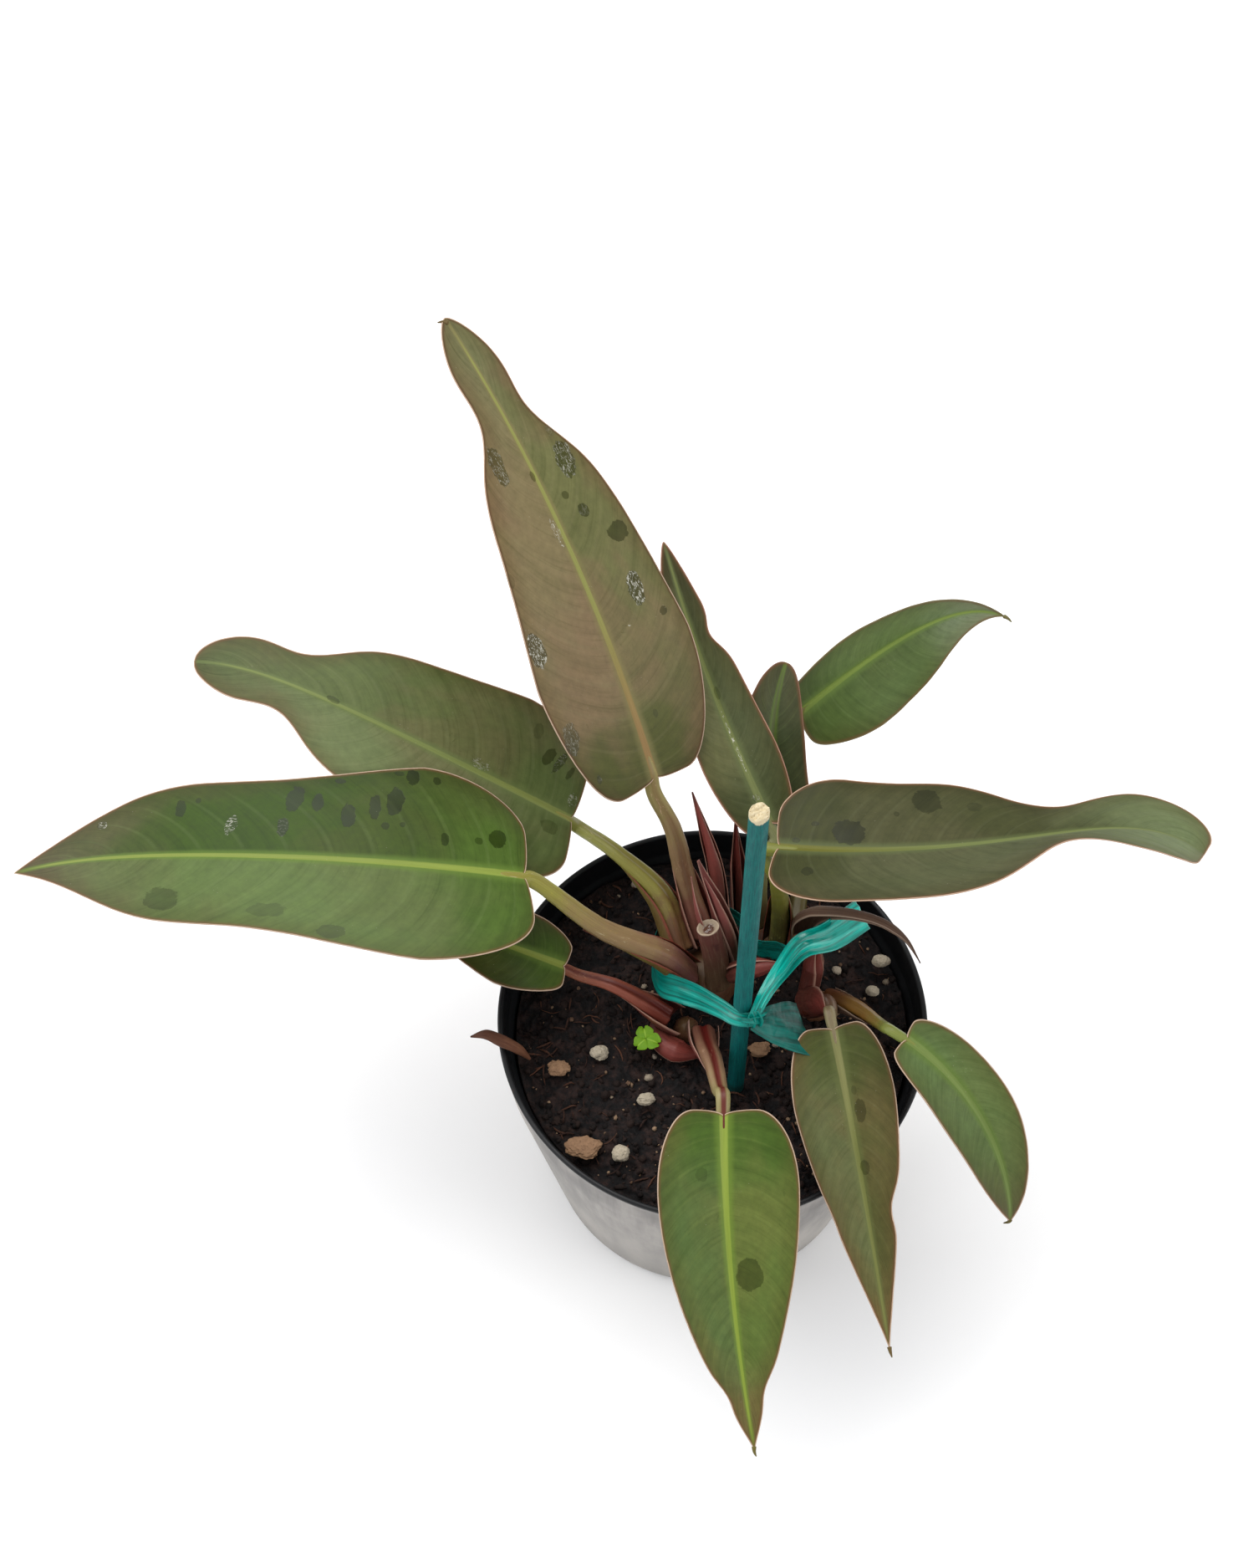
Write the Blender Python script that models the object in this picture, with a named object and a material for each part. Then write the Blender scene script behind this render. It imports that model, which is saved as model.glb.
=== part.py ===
"""Potted philodendron in a nursery pot, with its stake and tie tape. Metres, Z up.

The origin is the centre of the pot's underside. -Y is the front of the plant.
"""

import math

import bmesh
import bpy
import numpy as np

# ---- pot and soil ----
POT_HEIGHT = 0.114
POT_BASE_RADIUS = 0.059
POT_RIM_RADIUS = 0.075
POT_WALL = 0.0015
POT_FLOOR = 0.002
RIM_DEPTH = 0.014
RIM_STEP = 0.002
DRAIN_HOLE_RADIUS = 0.005
DRAIN_HOLE_RING = 0.040
DRAIN_HOLE_COUNT = 6
SOIL_BELOW_RIM = 0.009
SOIL_TOP = POT_HEIGHT - SOIL_BELOW_RIM
SOIL_ROUGHNESS = 0.0025
POCKET_DEPTH = 0.020
GAP = 0.0003

# The plant's heights below are for soil at this height. They move with the soil.
PLANT_DATUM = 0.105
PLANT_LIFT = SOIL_TOP - PLANT_DATUM

# ---- stake and tie tape ----
STAKE_RADIUS = 0.0034
STAKE_TIP_RADIUS = 0.0016
STAKE_FOOT = (0.0070, -0.0330, 0.022)
STAKE_TOP = (0.0100, 0.0020, 0.262)
TAPE_THICKNESS = 0.0005
TAPE_WIDTH = 0.009
LOOP_CENTRE = (-0.0025, 0.0220)
LOOP_RADIUS = 0.0182
LOOP_HEIGHT = 0.1180
CROSSING_HEIGHT = 0.1535
TAPE_SLACK = 0.0018
LOOP_LEFT = [(-0.0208, 0.0160, 0.1190), (-0.0180, 0.0090, 0.1240), (-0.0120, 0.0020, 0.1340),
             (-0.0050, -0.0055, 0.1440), (0.0020, -0.0130, 0.1515)]
LOOP_RIGHT = [(0.0160, -0.0100, 0.1530), (0.0225, 0.0010, 0.1475), (0.0268, 0.0100, 0.1390),
              (0.0240, 0.0180, 0.1290), (0.0185, 0.0230, 0.1210)]
KNOT = [(0.0142, -0.0195, 0.1490), (0.0148, -0.0180, 0.1575)]
LONG_TAIL = [(0.0165, -0.0150, 0.1550), (0.0225, -0.0030, 0.1580), (0.0297, 0.0090, 0.1540),
             (0.0410, 0.0180, 0.1400), (0.0525, 0.0300, 0.1345)]
SHORT_TAIL = [(0.0165, -0.0190, 0.1515), (0.0225, -0.0150, 0.1440), (0.0290, -0.0105, 0.1370)]

# ---- leaves ----
BLADE_THICKNESS = 0.0008
BLADE_ROWS = 14
BLADE_COLUMNS = 3
LENGTH_SCALE = 1.0

LEAF_SHAPE = {
    "droop": 10, "sweep": 0, "roll": 0, "twist": 0, "lobe": 0.02, "peak": 0.25, "blunt": 1.6,
    "point": 0.8, "lop": 0.0, "fold": 5, "waist": 0.0, "waistAt": 0.7, "waistWidth": 0.08,
    "waistLop": 0.0, "tipSweep": 0,
}

LEAVES = {
    "leaf_top": {
        "base": (-0.0205, 0.061, 0.178), "heading": 113, "pitch": 44, "droop": 28, "sweep": 11,
        "roll": 22, "twist": -13, "length": 0.172, "width": 0.065, "lobe": 0.015, "blunt": 1.1,
        "point": 0.62, "fold": 0, "waist": 0.40, "waistAt": 0.78, "waistWidth": 0.10,
    },
    "leaf_left_upper": {
        "base": (-0.050, 0.0637, 0.1425), "heading": 167, "pitch": 33.5, "droop": 35,
        "sweep": -16.5, "roll": 1, "twist": -2, "length": 0.145, "width": 0.0685,
        "lobe": 0.015, "peak": 0.20, "blunt": 1.1, "point": 0.475, "lop": -0.02, "fold": 2,
        "waist": 0.395, "waistAt": 0.765, "waistWidth": 0.11, "waistLop": 0.055,
        "tipSweep": 27.5,
    },
    "leaf_left_front": {
        "base": (-0.0655, 0.030, 0.1645), "heading": 183.5, "pitch": 22, "droop": 55,
        "sweep": -16, "roll": 8, "twist": -21, "length": 0.186, "width": 0.075, "lobe": 0.015,
        "peak": 0.185, "blunt": 1.13, "point": 0.96, "lop": -0.033, "fold": 0,
        "waist": -0.485, "waistAt": 0.755, "waistWidth": 0.192, "tipSweep": 10,
    },
    "leaf_small_left": {
        "base": (-0.052, 0.014, 0.1265), "heading": 166, "pitch": 18, "droop": 14, "sweep": -5,
        "roll": 4, "twist": -17, "length": 0.062, "width": 0.030, "peak": 0.34, "blunt": 1.4,
        "point": 1.3, "lop": 0.03, "fold": 5,
    },
    "leaf_front": {
        "base": (0.002, -0.0495, 0.145), "heading": -90, "pitch": -25, "droop": 9, "sweep": 12.5,
        "roll": -4, "twist": 4, "length": 0.112, "width": 0.048, "peak": 0.22, "blunt": 1.8,
        "point": 1.1, "lop": 0.03, "fold": 10, "waist": 0.2, "waistAt": 0.83,
        "waistWidth": 0.06,
    },
    "leaf_front_right": {
        "base": (0.040, -0.0165, 0.140), "heading": -78.7, "pitch": -20, "droop": 9,
        "sweep": -1.2, "roll": 4, "twist": 10.5, "length": 0.109, "width": 0.036,
        "lobe": 0.015, "peak": 0.215, "blunt": 1.5, "point": 1.16, "lop": -0.055, "fold": 16,
        "waist": 0.13, "waistAt": 0.565, "waistWidth": 0.067, "waistLop": 0.7,
    },
    "leaf_small_right": {
        "base": (0.064, -0.024, 0.1495), "heading": -32, "pitch": -14, "droop": 60,
        "sweep": -40, "roll": 5, "twist": 2, "length": 0.086, "width": 0.027, "peak": 0.32,
        "blunt": 2.0, "point": 0.95, "lop": -0.035, "fold": 11,
    },
    "leaf_right": {
        "base": (0.021, 0.030, 0.1855), "heading": -8.8, "pitch": 7.5, "droop": 23.5,
        "sweep": 40, "roll": -11, "twist": -21, "length": 0.1475, "width": 0.0545,
        "lobe": 0.015, "peak": 0.15, "blunt": 2.0, "point": 0.25, "lop": 0.065, "fold": 6,
        "waist": 0.63, "waistAt": 0.665, "waistWidth": 0.16, "waistLop": -0.2,
        "tipSweep": -73,
    },
    "leaf_upper_right": {
        "base": (0.0333, 0.1035, 0.1515), "heading": 36.7, "pitch": 17, "droop": 29,
        "sweep": -6, "roll": 53, "twist": 2, "length": 0.0865, "width": 0.0397, "lobe": 0.06,
        "peak": 0.3, "blunt": 1.7, "point": 1.22, "lop": -0.133, "fold": 21, "tipSweep": -56,
    },
    "leaf_back_right": {
        "base": (0.0253, 0.059, 0.138), "heading": 109.5, "pitch": 37, "droop": 10,
        "sweep": -40, "roll": 2, "twist": 4, "length": 0.0625, "width": 0.025,
        "lobe": 0.06, "peak": 0.32, "blunt": 1.96, "point": 0.48, "lop": 0.006, "fold": 17,
    },
    "leaf_back": {
        "base": (0.0195, 0.0575, 0.1525), "heading": 118, "pitch": 24.5, "droop": 2,
        "sweep": -11, "roll": 0, "twist": -5, "length": 0.105, "width": 0.0294,
        "lobe": 0.028, "peak": 0.23, "blunt": 1.4, "point": 0.76, "lop": 0.085, "fold": 17,
        "waist": 0.33, "waistAt": 0.655, "waistWidth": 0.061,
    },
}

# Each stalk: its leaf, the points it passes through, the radius at its foot and at its leaf.
STALKS = {
    "petiole_top": {
        "leaf": "leaf_top", "foot": 0.0040, "end": 0.0024,
        "path": [(-0.003, 0.029, 0.119), (-0.009, 0.041, 0.136), (-0.014, 0.051, 0.158)],
    },
    "petiole_left_upper": {
        "leaf": "leaf_left_upper", "foot": 0.0040, "end": 0.0023,
        "path": [(-0.0110, 0.0225, 0.119), (-0.0180, 0.0390, 0.131), (-0.033, 0.051, 0.1395)],
    },
    "petiole_left_front": {
        "leaf": "leaf_left_front", "foot": 0.0040, "end": 0.0025,
        "path": [(-0.008, 0.013, 0.119), (-0.017, 0.0145, 0.1345), (-0.039, 0.019, 0.146)],
    },
    "petiole_small_left": {
        "leaf": "leaf_small_left", "foot": 0.0030, "end": 0.0018,
        "path": [(-0.0155, 0.001, 0.1115), (-0.024, 0.004, 0.1185), (-0.035, 0.008, 0.1235)],
    },
    "petiole_front": {
        "leaf": "leaf_front", "foot": 0.0032, "end": 0.0020,
        "path": [(-0.0105, -0.004, 0.1125), (-0.0085, -0.014, 0.120), (-0.002, -0.025, 0.131),
                 (0.001, -0.038, 0.140)],
    },
    "petiole_front_right": {
        "leaf": "leaf_front_right", "foot": 0.0032, "end": 0.0016,
        "path": [(0.0345, 0.004, 0.113), (0.039, 0.000, 0.127), (0.040, -0.008, 0.134)],
    },
    "petiole_small_right": {
        "leaf": "leaf_small_right", "foot": 0.0028, "end": 0.0016,
        "path": [(0.041, 0.008, 0.113), (0.049, -0.004, 0.131), (0.056, -0.015, 0.1415)],
    },
    "petiole_right": {
        "leaf": "leaf_right", "foot": 0.0036, "end": 0.0019,
        "path": [(0.0235, 0.028, 0.1145), (0.0235, 0.031, 0.135), (0.020, 0.027, 0.170)],
    },
    "petiole_upper_right": {
        "leaf": "leaf_upper_right", "foot": 0.0030, "end": 0.0016,
        "path": [(0.0305, 0.036, 0.1145), (0.0325, 0.056, 0.120), (0.0325, 0.084, 0.133)],
    },
    "petiole_back_right": {
        "leaf": "leaf_back_right", "foot": 0.0026, "end": 0.0015,
        "path": [(0.0240, 0.0405, 0.1145), (0.0250, 0.050, 0.127)],
    },
    "petiole_back": {
        "leaf": "leaf_back", "foot": 0.0026, "end": 0.0016,
        "path": [(0.0175, 0.0355, 0.1145), (0.017, 0.042, 0.132), (0.0175, 0.048, 0.143)],
    },
}

# Each growing point: the middle of its foot, its top and its radius.
STEMS = {
    "stem_main": {"centre": (-0.001, 0.020), "radius": 0.0130, "top": 0.1145},
    "stem_front": {"centre": (-0.009, 0.000), "radius": 0.0058, "top": 0.1085},
    "stem_right": {"centre": (0.037, 0.009), "radius": 0.0070, "top": 0.1095},
    "stem_back_right": {"centre": (0.024, 0.034), "radius": 0.0090, "top": 0.1105},
}

# Each shoot: the points it passes through, its radius at each, its flatness and its slot.
SHOOTS = {
    "cut_petiole_stub": {
        "path": [(0.0020, 0.0120, 0.119), (0.0005, 0.0150, 0.134), (-0.0020, 0.0185, 0.148)],
        "radii": [0.0038, 0.0038, 0.0037], "flat": 0.9, "slot": "petiole_red",
    },
    "new_spear": {
        "path": [(0.0070, 0.0205, 0.119), (0.0045, 0.0225, 0.138), (-0.0010, 0.0290, 0.155),
                 (-0.0060, 0.0350, 0.167)],
        "radii": [0.0028, 0.0030, 0.0022, 0.0006], "flat": 0.7, "slot": "cataphyll_red",
    },
    "cataphyll_tall": {
        "path": [(0.0040, 0.0315, 0.119), (0.0005, 0.0440, 0.142), (-0.0070, 0.0600, 0.166)],
        "radii": [0.0026, 0.0028, 0.0006], "flat": 0.7, "slot": "cataphyll_red",
    },
    "cataphyll_short": {
        "path": [(0.0110, 0.0460, 0.1065), (0.0095, 0.0530, 0.130), (0.0080, 0.0585, 0.151)],
        "radii": [0.0024, 0.0022, 0.0006], "flat": 0.6, "slot": "cataphyll_red",
    },
    "cataphyll_bud": {
        "path": [(0.0085, 0.0105, 0.129), (0.0145, 0.0090, 0.134), (0.0225, 0.0085, 0.1385)],
        "radii": [0.0024, 0.0034, 0.0008], "flat": 0.75, "slot": "cataphyll_red",
    },
    "cataphyll_dry": {
        "path": [(0.0330, 0.0285, 0.116), (0.0335, 0.0265, 0.135), (0.0430, 0.0210, 0.149),
                 (0.0580, 0.0165, 0.152), (0.0680, 0.0070, 0.147)],
        "radii": [0.0024, 0.0030, 0.0034, 0.0026, 0.0005], "flat": 0.3, "slot": "cataphyll_dry",
    },
    "cataphyll_front": {
        "path": [(-0.0190, 0.0010, 0.1075), (-0.0180, -0.0060, 0.1078),
                 (-0.0130, -0.0110, 0.1078), (-0.0060, -0.0120, 0.1075)],
        "radii": [0.0008, 0.0020, 0.0021, 0.0008], "flat": 0.9, "slot": "cataphyll_red",
    },
    "cataphyll_right": {
        "path": [(0.0345, 0.0130, 0.113), (0.0360, 0.0175, 0.122), (0.0370, 0.0200, 0.131)],
        "radii": [0.0030, 0.0032, 0.0008], "flat": 0.6, "slot": "cataphyll_red",
    },
    "seedling_stalk": {
        "path": [(-0.0240, -0.0060, 0.1054), (-0.0245, -0.0075, 0.1085),
                 (-0.0240, -0.0080, 0.1115)],
        "radii": [0.0006, 0.0006, 0.0006], "flat": 1.0, "slot": "seedling",
    },
    "dry_leaf_scrap": {
        "path": [(0.0110 - POT_RIM_RADIUS, -0.0125, 0.1085),
                 (0.0075 - POT_RIM_RADIUS, -0.0122, 0.1155),
                 (0.0020 - POT_RIM_RADIUS, -0.0118, 0.1180),
                 (-0.0035 - POT_RIM_RADIUS, -0.0110, 0.1165),
                 (-0.0090 - POT_RIM_RADIUS, -0.0105, 0.1120)],
        "radii": [0.0012, 0.0030, 0.0036, 0.0030, 0.0008], "flat": 0.14, "slot": "dry_leaf",
    },
}

SEEDLING_TOP = (-0.0240, -0.0080, 0.1122)
SEEDLING_RADIUS = 0.0055

# Each loose grain: where it lies on the soil and its three half sizes.
GRAINS = {
    "perlite_1": ((-0.023, -0.028), (0.0030, 0.0024, 0.0020), "perlite"),
    "perlite_2": ((-0.032, -0.048), (0.0030, 0.0027, 0.0022), "perlite"),
    "perlite_3": ((0.061, 0.025), (0.0028, 0.0022, 0.0020), "perlite"),
    "perlite_4": ((0.057, 0.013), (0.0024, 0.0020, 0.0018), "perlite"),
    "perlite_5": ((-0.040, -0.011), (0.0032, 0.0026, 0.0022), "perlite"),
    "bark_chip_1": ((-0.044, -0.046), (0.0060, 0.0040, 0.0016), "bark"),
    "bark_chip_2": ((0.016, -0.009), (0.0040, 0.0022, 0.0014), "bark"),
    "bark_chip_3": ((-0.054, -0.016), (0.0042, 0.0026, 0.0014), "bark"),
}

MATERIALS = {
    "pot": ((0.012, 0.012, 0.013), 0.45),
    "soil": ((0.030, 0.020, 0.015), 0.95),
    "stake": ((0.000, 0.140, 0.150), 0.60),
    "tape": ((0.000, 0.330, 0.260), 0.20),
    "stem": ((0.200, 0.120, 0.080), 0.60),
    "leaf_green": ((0.130, 0.200, 0.060), 0.40),
    "leaf_olive": ((0.110, 0.110, 0.050), 0.40),
    "leaf_dark": ((0.070, 0.090, 0.060), 0.40),
    "petiole_green": ((0.280, 0.250, 0.080), 0.45),
    "petiole_red": ((0.280, 0.110, 0.080), 0.45),
    "cataphyll_red": ((0.230, 0.050, 0.040), 0.50),
    "cataphyll_dry": ((0.280, 0.160, 0.110), 0.70),
    "seedling": ((0.160, 0.420, 0.020), 0.50),
    "dry_leaf": ((0.350, 0.200, 0.090), 0.80),
    "perlite": ((0.620, 0.540, 0.420), 0.90),
    "bark": ((0.300, 0.190, 0.110), 0.90),
}

LEAF_SLOTS = {
    "leaf_top": "leaf_olive", "leaf_left_upper": "leaf_green", "leaf_left_front": "leaf_green",
    "leaf_small_left": "leaf_green", "leaf_front": "leaf_green",
    "leaf_front_right": "leaf_olive", "leaf_small_right": "leaf_green",
    "leaf_right": "leaf_olive", "leaf_upper_right": "leaf_green",
    "leaf_back_right": "leaf_dark", "leaf_back": "leaf_dark",
}

RED_STALKS = ("petiole_small_left", "petiole_front", "petiole_front_right")


def raised(points):
    """The points, moved up or down with the soil."""
    return [(x, y, z + PLANT_LIFT) for x, y, z in points]


def clear_scene():
    for obj in list(bpy.data.objects):
        bpy.data.objects.remove(obj)


def material(slot):
    """The Principled material of a slot, made the first time it is asked for."""
    found = bpy.data.materials.get(slot)
    if found:
        return found
    colour, roughness = MATERIALS[slot]
    made = bpy.data.materials.new(slot)
    made.use_nodes = True
    shader = made.node_tree.nodes["Principled BSDF"]
    shader.inputs["Base Color"].default_value = (*colour, 1.0)
    shader.inputs["Roughness"].default_value = roughness
    shader.inputs["Metallic"].default_value = 0.0
    made.diffuse_color = (*colour, 1.0)
    return made


def add_object(name, points, faces, slot):
    mesh = bpy.data.meshes.new(name)
    mesh.from_pydata([tuple(p) for p in points], [], [tuple(f) for f in faces])
    shape = bmesh.new()
    shape.from_mesh(mesh)
    bmesh.ops.recalc_face_normals(shape, faces=shape.faces)
    shape.to_mesh(mesh)
    shape.free()
    obj = bpy.data.objects.new(name, mesh)
    bpy.context.scene.collection.objects.link(obj)
    mesh.materials.append(material(slot))
    return obj


def ring_faces(rings, sides, closed_path=False):
    """Quads between successive rings of points, and end caps unless the path is closed."""
    faces = []
    for i in range(rings if closed_path else rings - 1):
        for j in range(sides):
            a = i * sides + j
            b = i * sides + (j + 1) % sides
            step = sides if i < rings - 1 else sides - rings * sides
            faces.append((a, b, b + step, a + step))
    if not closed_path:
        faces.append(tuple(reversed(range(sides))))
        faces.append(tuple(range((rings - 1) * sides, rings * sides)))
    return faces


def lathe(name, profile, steps, slot):
    """A closed profile of (radius, height) turned round Z."""
    points = []
    for i in range(steps):
        angle = 2 * math.pi * i / steps
        for radius, height in profile:
            points.append((radius * math.cos(angle), radius * math.sin(angle), height))
    return add_object(name, points, ring_faces(steps, len(profile), True), slot)


def smooth_path(points, count):
    """Evenly spaced points on the curve through the given ones, and the share of the way."""
    points = np.array(points, float)
    ends = np.vstack([2 * points[0] - points[1], points, 2 * points[-1] - points[-2]])
    out = []
    for i in range(len(points) - 1):
        a, b, c, d = ends[i:i + 4]
        for t in np.linspace(0, 1, 24, endpoint=False):
            out.append(0.5 * (2 * b + (c - a) * t + (2 * a - 5 * b + 4 * c - d) * t * t
                              + (3 * b - a - 3 * c + d) * t ** 3))
    out.append(points[-1])
    out = np.array(out)
    run = np.concatenate([[0], np.cumsum(np.linalg.norm(np.diff(out, axis=0), axis=1))])
    run = run / run[-1]
    share = np.linspace(0, 1, count)
    return np.stack([np.interp(share, run, out[:, k]) for k in range(3)], -1), share


def path_frames(path, across):
    """Forward, sideways and up directions along a path, starting from a sideways hint."""
    forward = np.gradient(path, axis=0)
    forward /= np.linalg.norm(forward, axis=1)[:, None]
    side = np.array(across, float)
    sides = []
    for direction in forward:
        side = side - direction * (side @ direction)
        side = side / np.linalg.norm(side)
        sides.append(side)
    sides = np.array(sides)
    return forward, sides, np.cross(forward, sides)


def rod(name, points, radii, slot, sides=8, count=9, flat=1.0, across=(1, 0.3, 0)):
    """A rod through the points, with its radius interpolated between those given."""
    path, share = smooth_path(points, count)
    radius = np.interp(share, np.linspace(0, 1, len(radii)), radii)
    _, side, up = path_frames(path, across)
    verts = []
    for i in range(count):
        for j in range(sides):
            angle = 2 * math.pi * j / sides
            verts.append(path[i] + side[i] * radius[i] * math.cos(angle)
                         + up[i] * radius[i] * flat * math.sin(angle))
    return add_object(name, verts, ring_faces(count, sides), slot)


def leaf_outline(leaf, side, shares):
    """(along, across) on one margin, from the notch round the lobe to the tip."""
    lobe, peak = leaf["lobe"], leaf["peak"]
    curve = 0.45
    turn = np.linspace(0, math.pi / 2, 40)
    inner = np.stack([-lobe * np.sin(turn), curve * (1 - np.cos(turn))], -1)
    outer = np.stack([peak - (peak + lobe) * np.cos(turn),
                      curve + (1 - curve) * np.sin(turn)], -1)
    x = np.linspace(0, 1, 160)[1:]
    width = (1 - x ** leaf["blunt"]) ** leaf["point"]
    along = peak + (1 - peak) * x
    waist = leaf["waist"] * (1 + side * leaf["waistLop"])
    width *= 1 - waist * np.exp(-((along - leaf["waistAt"]) / leaf["waistWidth"]) ** 2)
    line = np.concatenate([inner, outer[1:], np.stack([along, width], -1)])
    stretched = line * (leaf["length"], leaf["width"] / 2)
    run = np.concatenate([[0], np.cumsum(np.linalg.norm(np.diff(stretched, axis=0), axis=1))])
    run = run / run[-1]
    found = np.stack([np.interp(shares, run, line[:, k]) for k in range(2)], -1)
    found[:, 1] *= side * (1 + side * leaf["lop"])
    return found


def leaf_frame(leaf, along):
    """Midrib point, forward, sideways and normal directions at shares of the length."""
    s = np.linspace(-0.2, 1, 121)
    k = np.clip(s, 0, None)
    heading = np.radians(leaf["heading"] + leaf["sweep"] * k + leaf["tipSweep"] * k ** 6)
    pitch = np.radians(leaf["pitch"] - leaf["droop"] * k)
    forward = np.stack([np.cos(pitch) * np.cos(heading), np.cos(pitch) * np.sin(heading),
                        np.sin(pitch)], -1)
    step = (s[1] - s[0]) * leaf["length"]
    centre = np.concatenate([np.zeros((1, 3)),
                             np.cumsum((forward[1:] + forward[:-1]) / 2 * step, axis=0)])
    base = np.array(raised([leaf["base"]])[0])
    centre = centre - centre[np.argmin(abs(s))] + base
    side = np.stack([-np.sin(heading), np.cos(heading), 0 * heading], -1)
    normal = np.cross(forward, side)
    roll = np.radians(leaf["roll"] + leaf["twist"] * k)[:, None]
    side, normal = (side * np.cos(roll) + normal * np.sin(roll),
                    normal * np.cos(roll) - side * np.sin(roll))
    return [np.stack([np.interp(along, s, a[:, i]) for i in range(3)], -1)
            for a in (centre, forward, side, normal)]


def blade(name, shape, slot):
    """One thin closed leaf blade, in ribs from the midrib to the margin."""
    leaf = {**LEAF_SHAPE, **shape}
    leaf["length"] *= LENGTH_SCALE
    rows = BLADE_ROWS
    shares = np.linspace(0, 1, rows + 2)[1:-1]
    middle = shares ** 1.15
    fold = math.radians(leaf["fold"])
    top = []
    for column in range(-BLADE_COLUMNS, BLADE_COLUMNS + 1):
        u = abs(column) / BLADE_COLUMNS
        margin = leaf_outline(leaf, 1 if column >= 0 else -1, shares)
        along = middle * (1 - u) + margin[:, 0] * u
        across = margin[:, 1] * u * leaf["width"] / 2
        centre, _, side, normal = leaf_frame(leaf, along)
        place = (centre + side * (across * math.cos(fold))[:, None]
                 + normal * (abs(across) * math.sin(fold))[:, None])
        top.append((place, normal))
    columns = len(top)
    half = BLADE_THICKNESS / 2
    ends, _, _, end_normals = leaf_frame(leaf, np.array([0.0, 1.0]))
    points = []
    for sign in (1, -1):
        points.append(ends[0] + sign * half * end_normals[0])
        for row in range(rows):
            for place, normal in top:
                points.append(place[row] + sign * half * normal[row])
        points.append(ends[1] + sign * half * end_normals[1])
    faces = []
    offset = rows * columns + 2
    for layer in (0, 1):
        base = layer * offset
        found = []
        first = base + 1
        last = base + 1 + (rows - 1) * columns
        for c in range(columns - 1):
            found.append((base, first + c, first + c + 1))
            found.append((base + offset - 1, last + c + 1, last + c))
            for row in range(rows - 1):
                a = first + row * columns + c
                found.append((a, a + columns, a + columns + 1, a + 1))
        faces += found if layer else [tuple(reversed(face)) for face in found]
    left = [0] + [1 + row * columns for row in range(rows)] + [offset - 1]
    right = [0] + [row * columns + columns for row in range(rows)] + [offset - 1]
    for edge, turned in ((left, False), (right, True)):
        for a, b in zip(edge[:-1], edge[1:]):
            quad = (a, b, b + offset, a + offset)
            faces.append(tuple(reversed(quad)) if turned else quad)
    return add_object(name, points, faces, slot)


def stalk(name, shape):
    """A leaf stalk that ends just under the notch of its blade."""
    leaf = {**LEAF_SHAPE, **LEAVES[shape["leaf"]]}
    centre, forward, _, normal = leaf_frame(leaf, np.array([0.0]))
    drop = shape["end"] + BLADE_THICKNESS / 2 + GAP
    end = centre[0] - normal[0] * (drop + 0.0004) + forward[0] * 0.002
    before = end - forward[0] * 0.007 - normal[0] * 0.0012
    radii = [shape["foot"], shape["foot"] * 0.8, shape["end"] * 1.15, shape["end"], shape["end"]]
    slot = "petiole_red" if name in RED_STALKS else "petiole_green"
    rod(name, [*raised(shape["path"]), before, end], radii, slot, sides=8, count=9)


def build_pot():
    rim_foot = POT_HEIGHT - RIM_DEPTH
    slope = (POT_RIM_RADIUS - RIM_STEP - POT_BASE_RADIUS) / POT_HEIGHT
    neck = POT_BASE_RADIUS + slope * rim_foot
    wall = POT_WALL
    profile = [
        (0.0008, 0.0), (POT_BASE_RADIUS - 0.002, 0.0), (POT_BASE_RADIUS, 0.002),
        (neck, rim_foot), (neck + RIM_STEP, rim_foot + 0.001),
        (POT_RIM_RADIUS, POT_HEIGHT - 0.002), (POT_RIM_RADIUS - 0.0004, POT_HEIGHT),
        (POT_RIM_RADIUS - wall, POT_HEIGHT), (neck + RIM_STEP - wall, rim_foot + 0.003),
        (neck - wall, rim_foot), (POT_BASE_RADIUS - wall + 0.0003, POT_FLOOR + 0.002),
        (POT_BASE_RADIUS - wall - 0.002, POT_FLOOR), (0.0008, POT_FLOOR),
    ]
    pot = lathe("pot", profile[::-1], 40, "pot")
    fill_axis_hole(pot, 0.0008)
    for index in range(DRAIN_HOLE_COUNT):
        angle = 2 * math.pi * (index + 0.5) / DRAIN_HOLE_COUNT
        x = DRAIN_HOLE_RING * math.cos(angle)
        y = DRAIN_HOLE_RING * math.sin(angle)
        hole = rod(f"cut_drain_{index}", [(x, y, -0.01), (x, y, 0.02)], [DRAIN_HOLE_RADIUS],
                   "pot", sides=16, count=2)
        cut(pot, hole)


def fill_axis_hole(obj, radius):
    """Moves the ring of points nearest the axis onto it, and merges them."""
    mesh = bmesh.new()
    mesh.from_mesh(obj.data)
    near = [v for v in mesh.verts if math.hypot(v.co.x, v.co.y) < radius * 1.01]
    for vert in near:
        vert.co.x = 0.0
        vert.co.y = 0.0
    bmesh.ops.remove_doubles(mesh, verts=mesh.verts, dist=1e-6)
    inner = [face for face in mesh.faces if face.calc_area() < 1e-12]
    bmesh.ops.delete(mesh, geom=inner, context="FACES")
    bmesh.ops.recalc_face_normals(mesh, faces=mesh.faces)
    mesh.to_mesh(obj.data)
    mesh.free()


def cut(obj, cutter):
    cutter.hide_render = True
    cutter.display_type = "WIRE"
    modifier = obj.modifiers.new(cutter.name, "BOOLEAN")
    modifier.operation = "DIFFERENCE"
    modifier.solver = "EXACT"
    modifier.object = cutter


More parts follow.
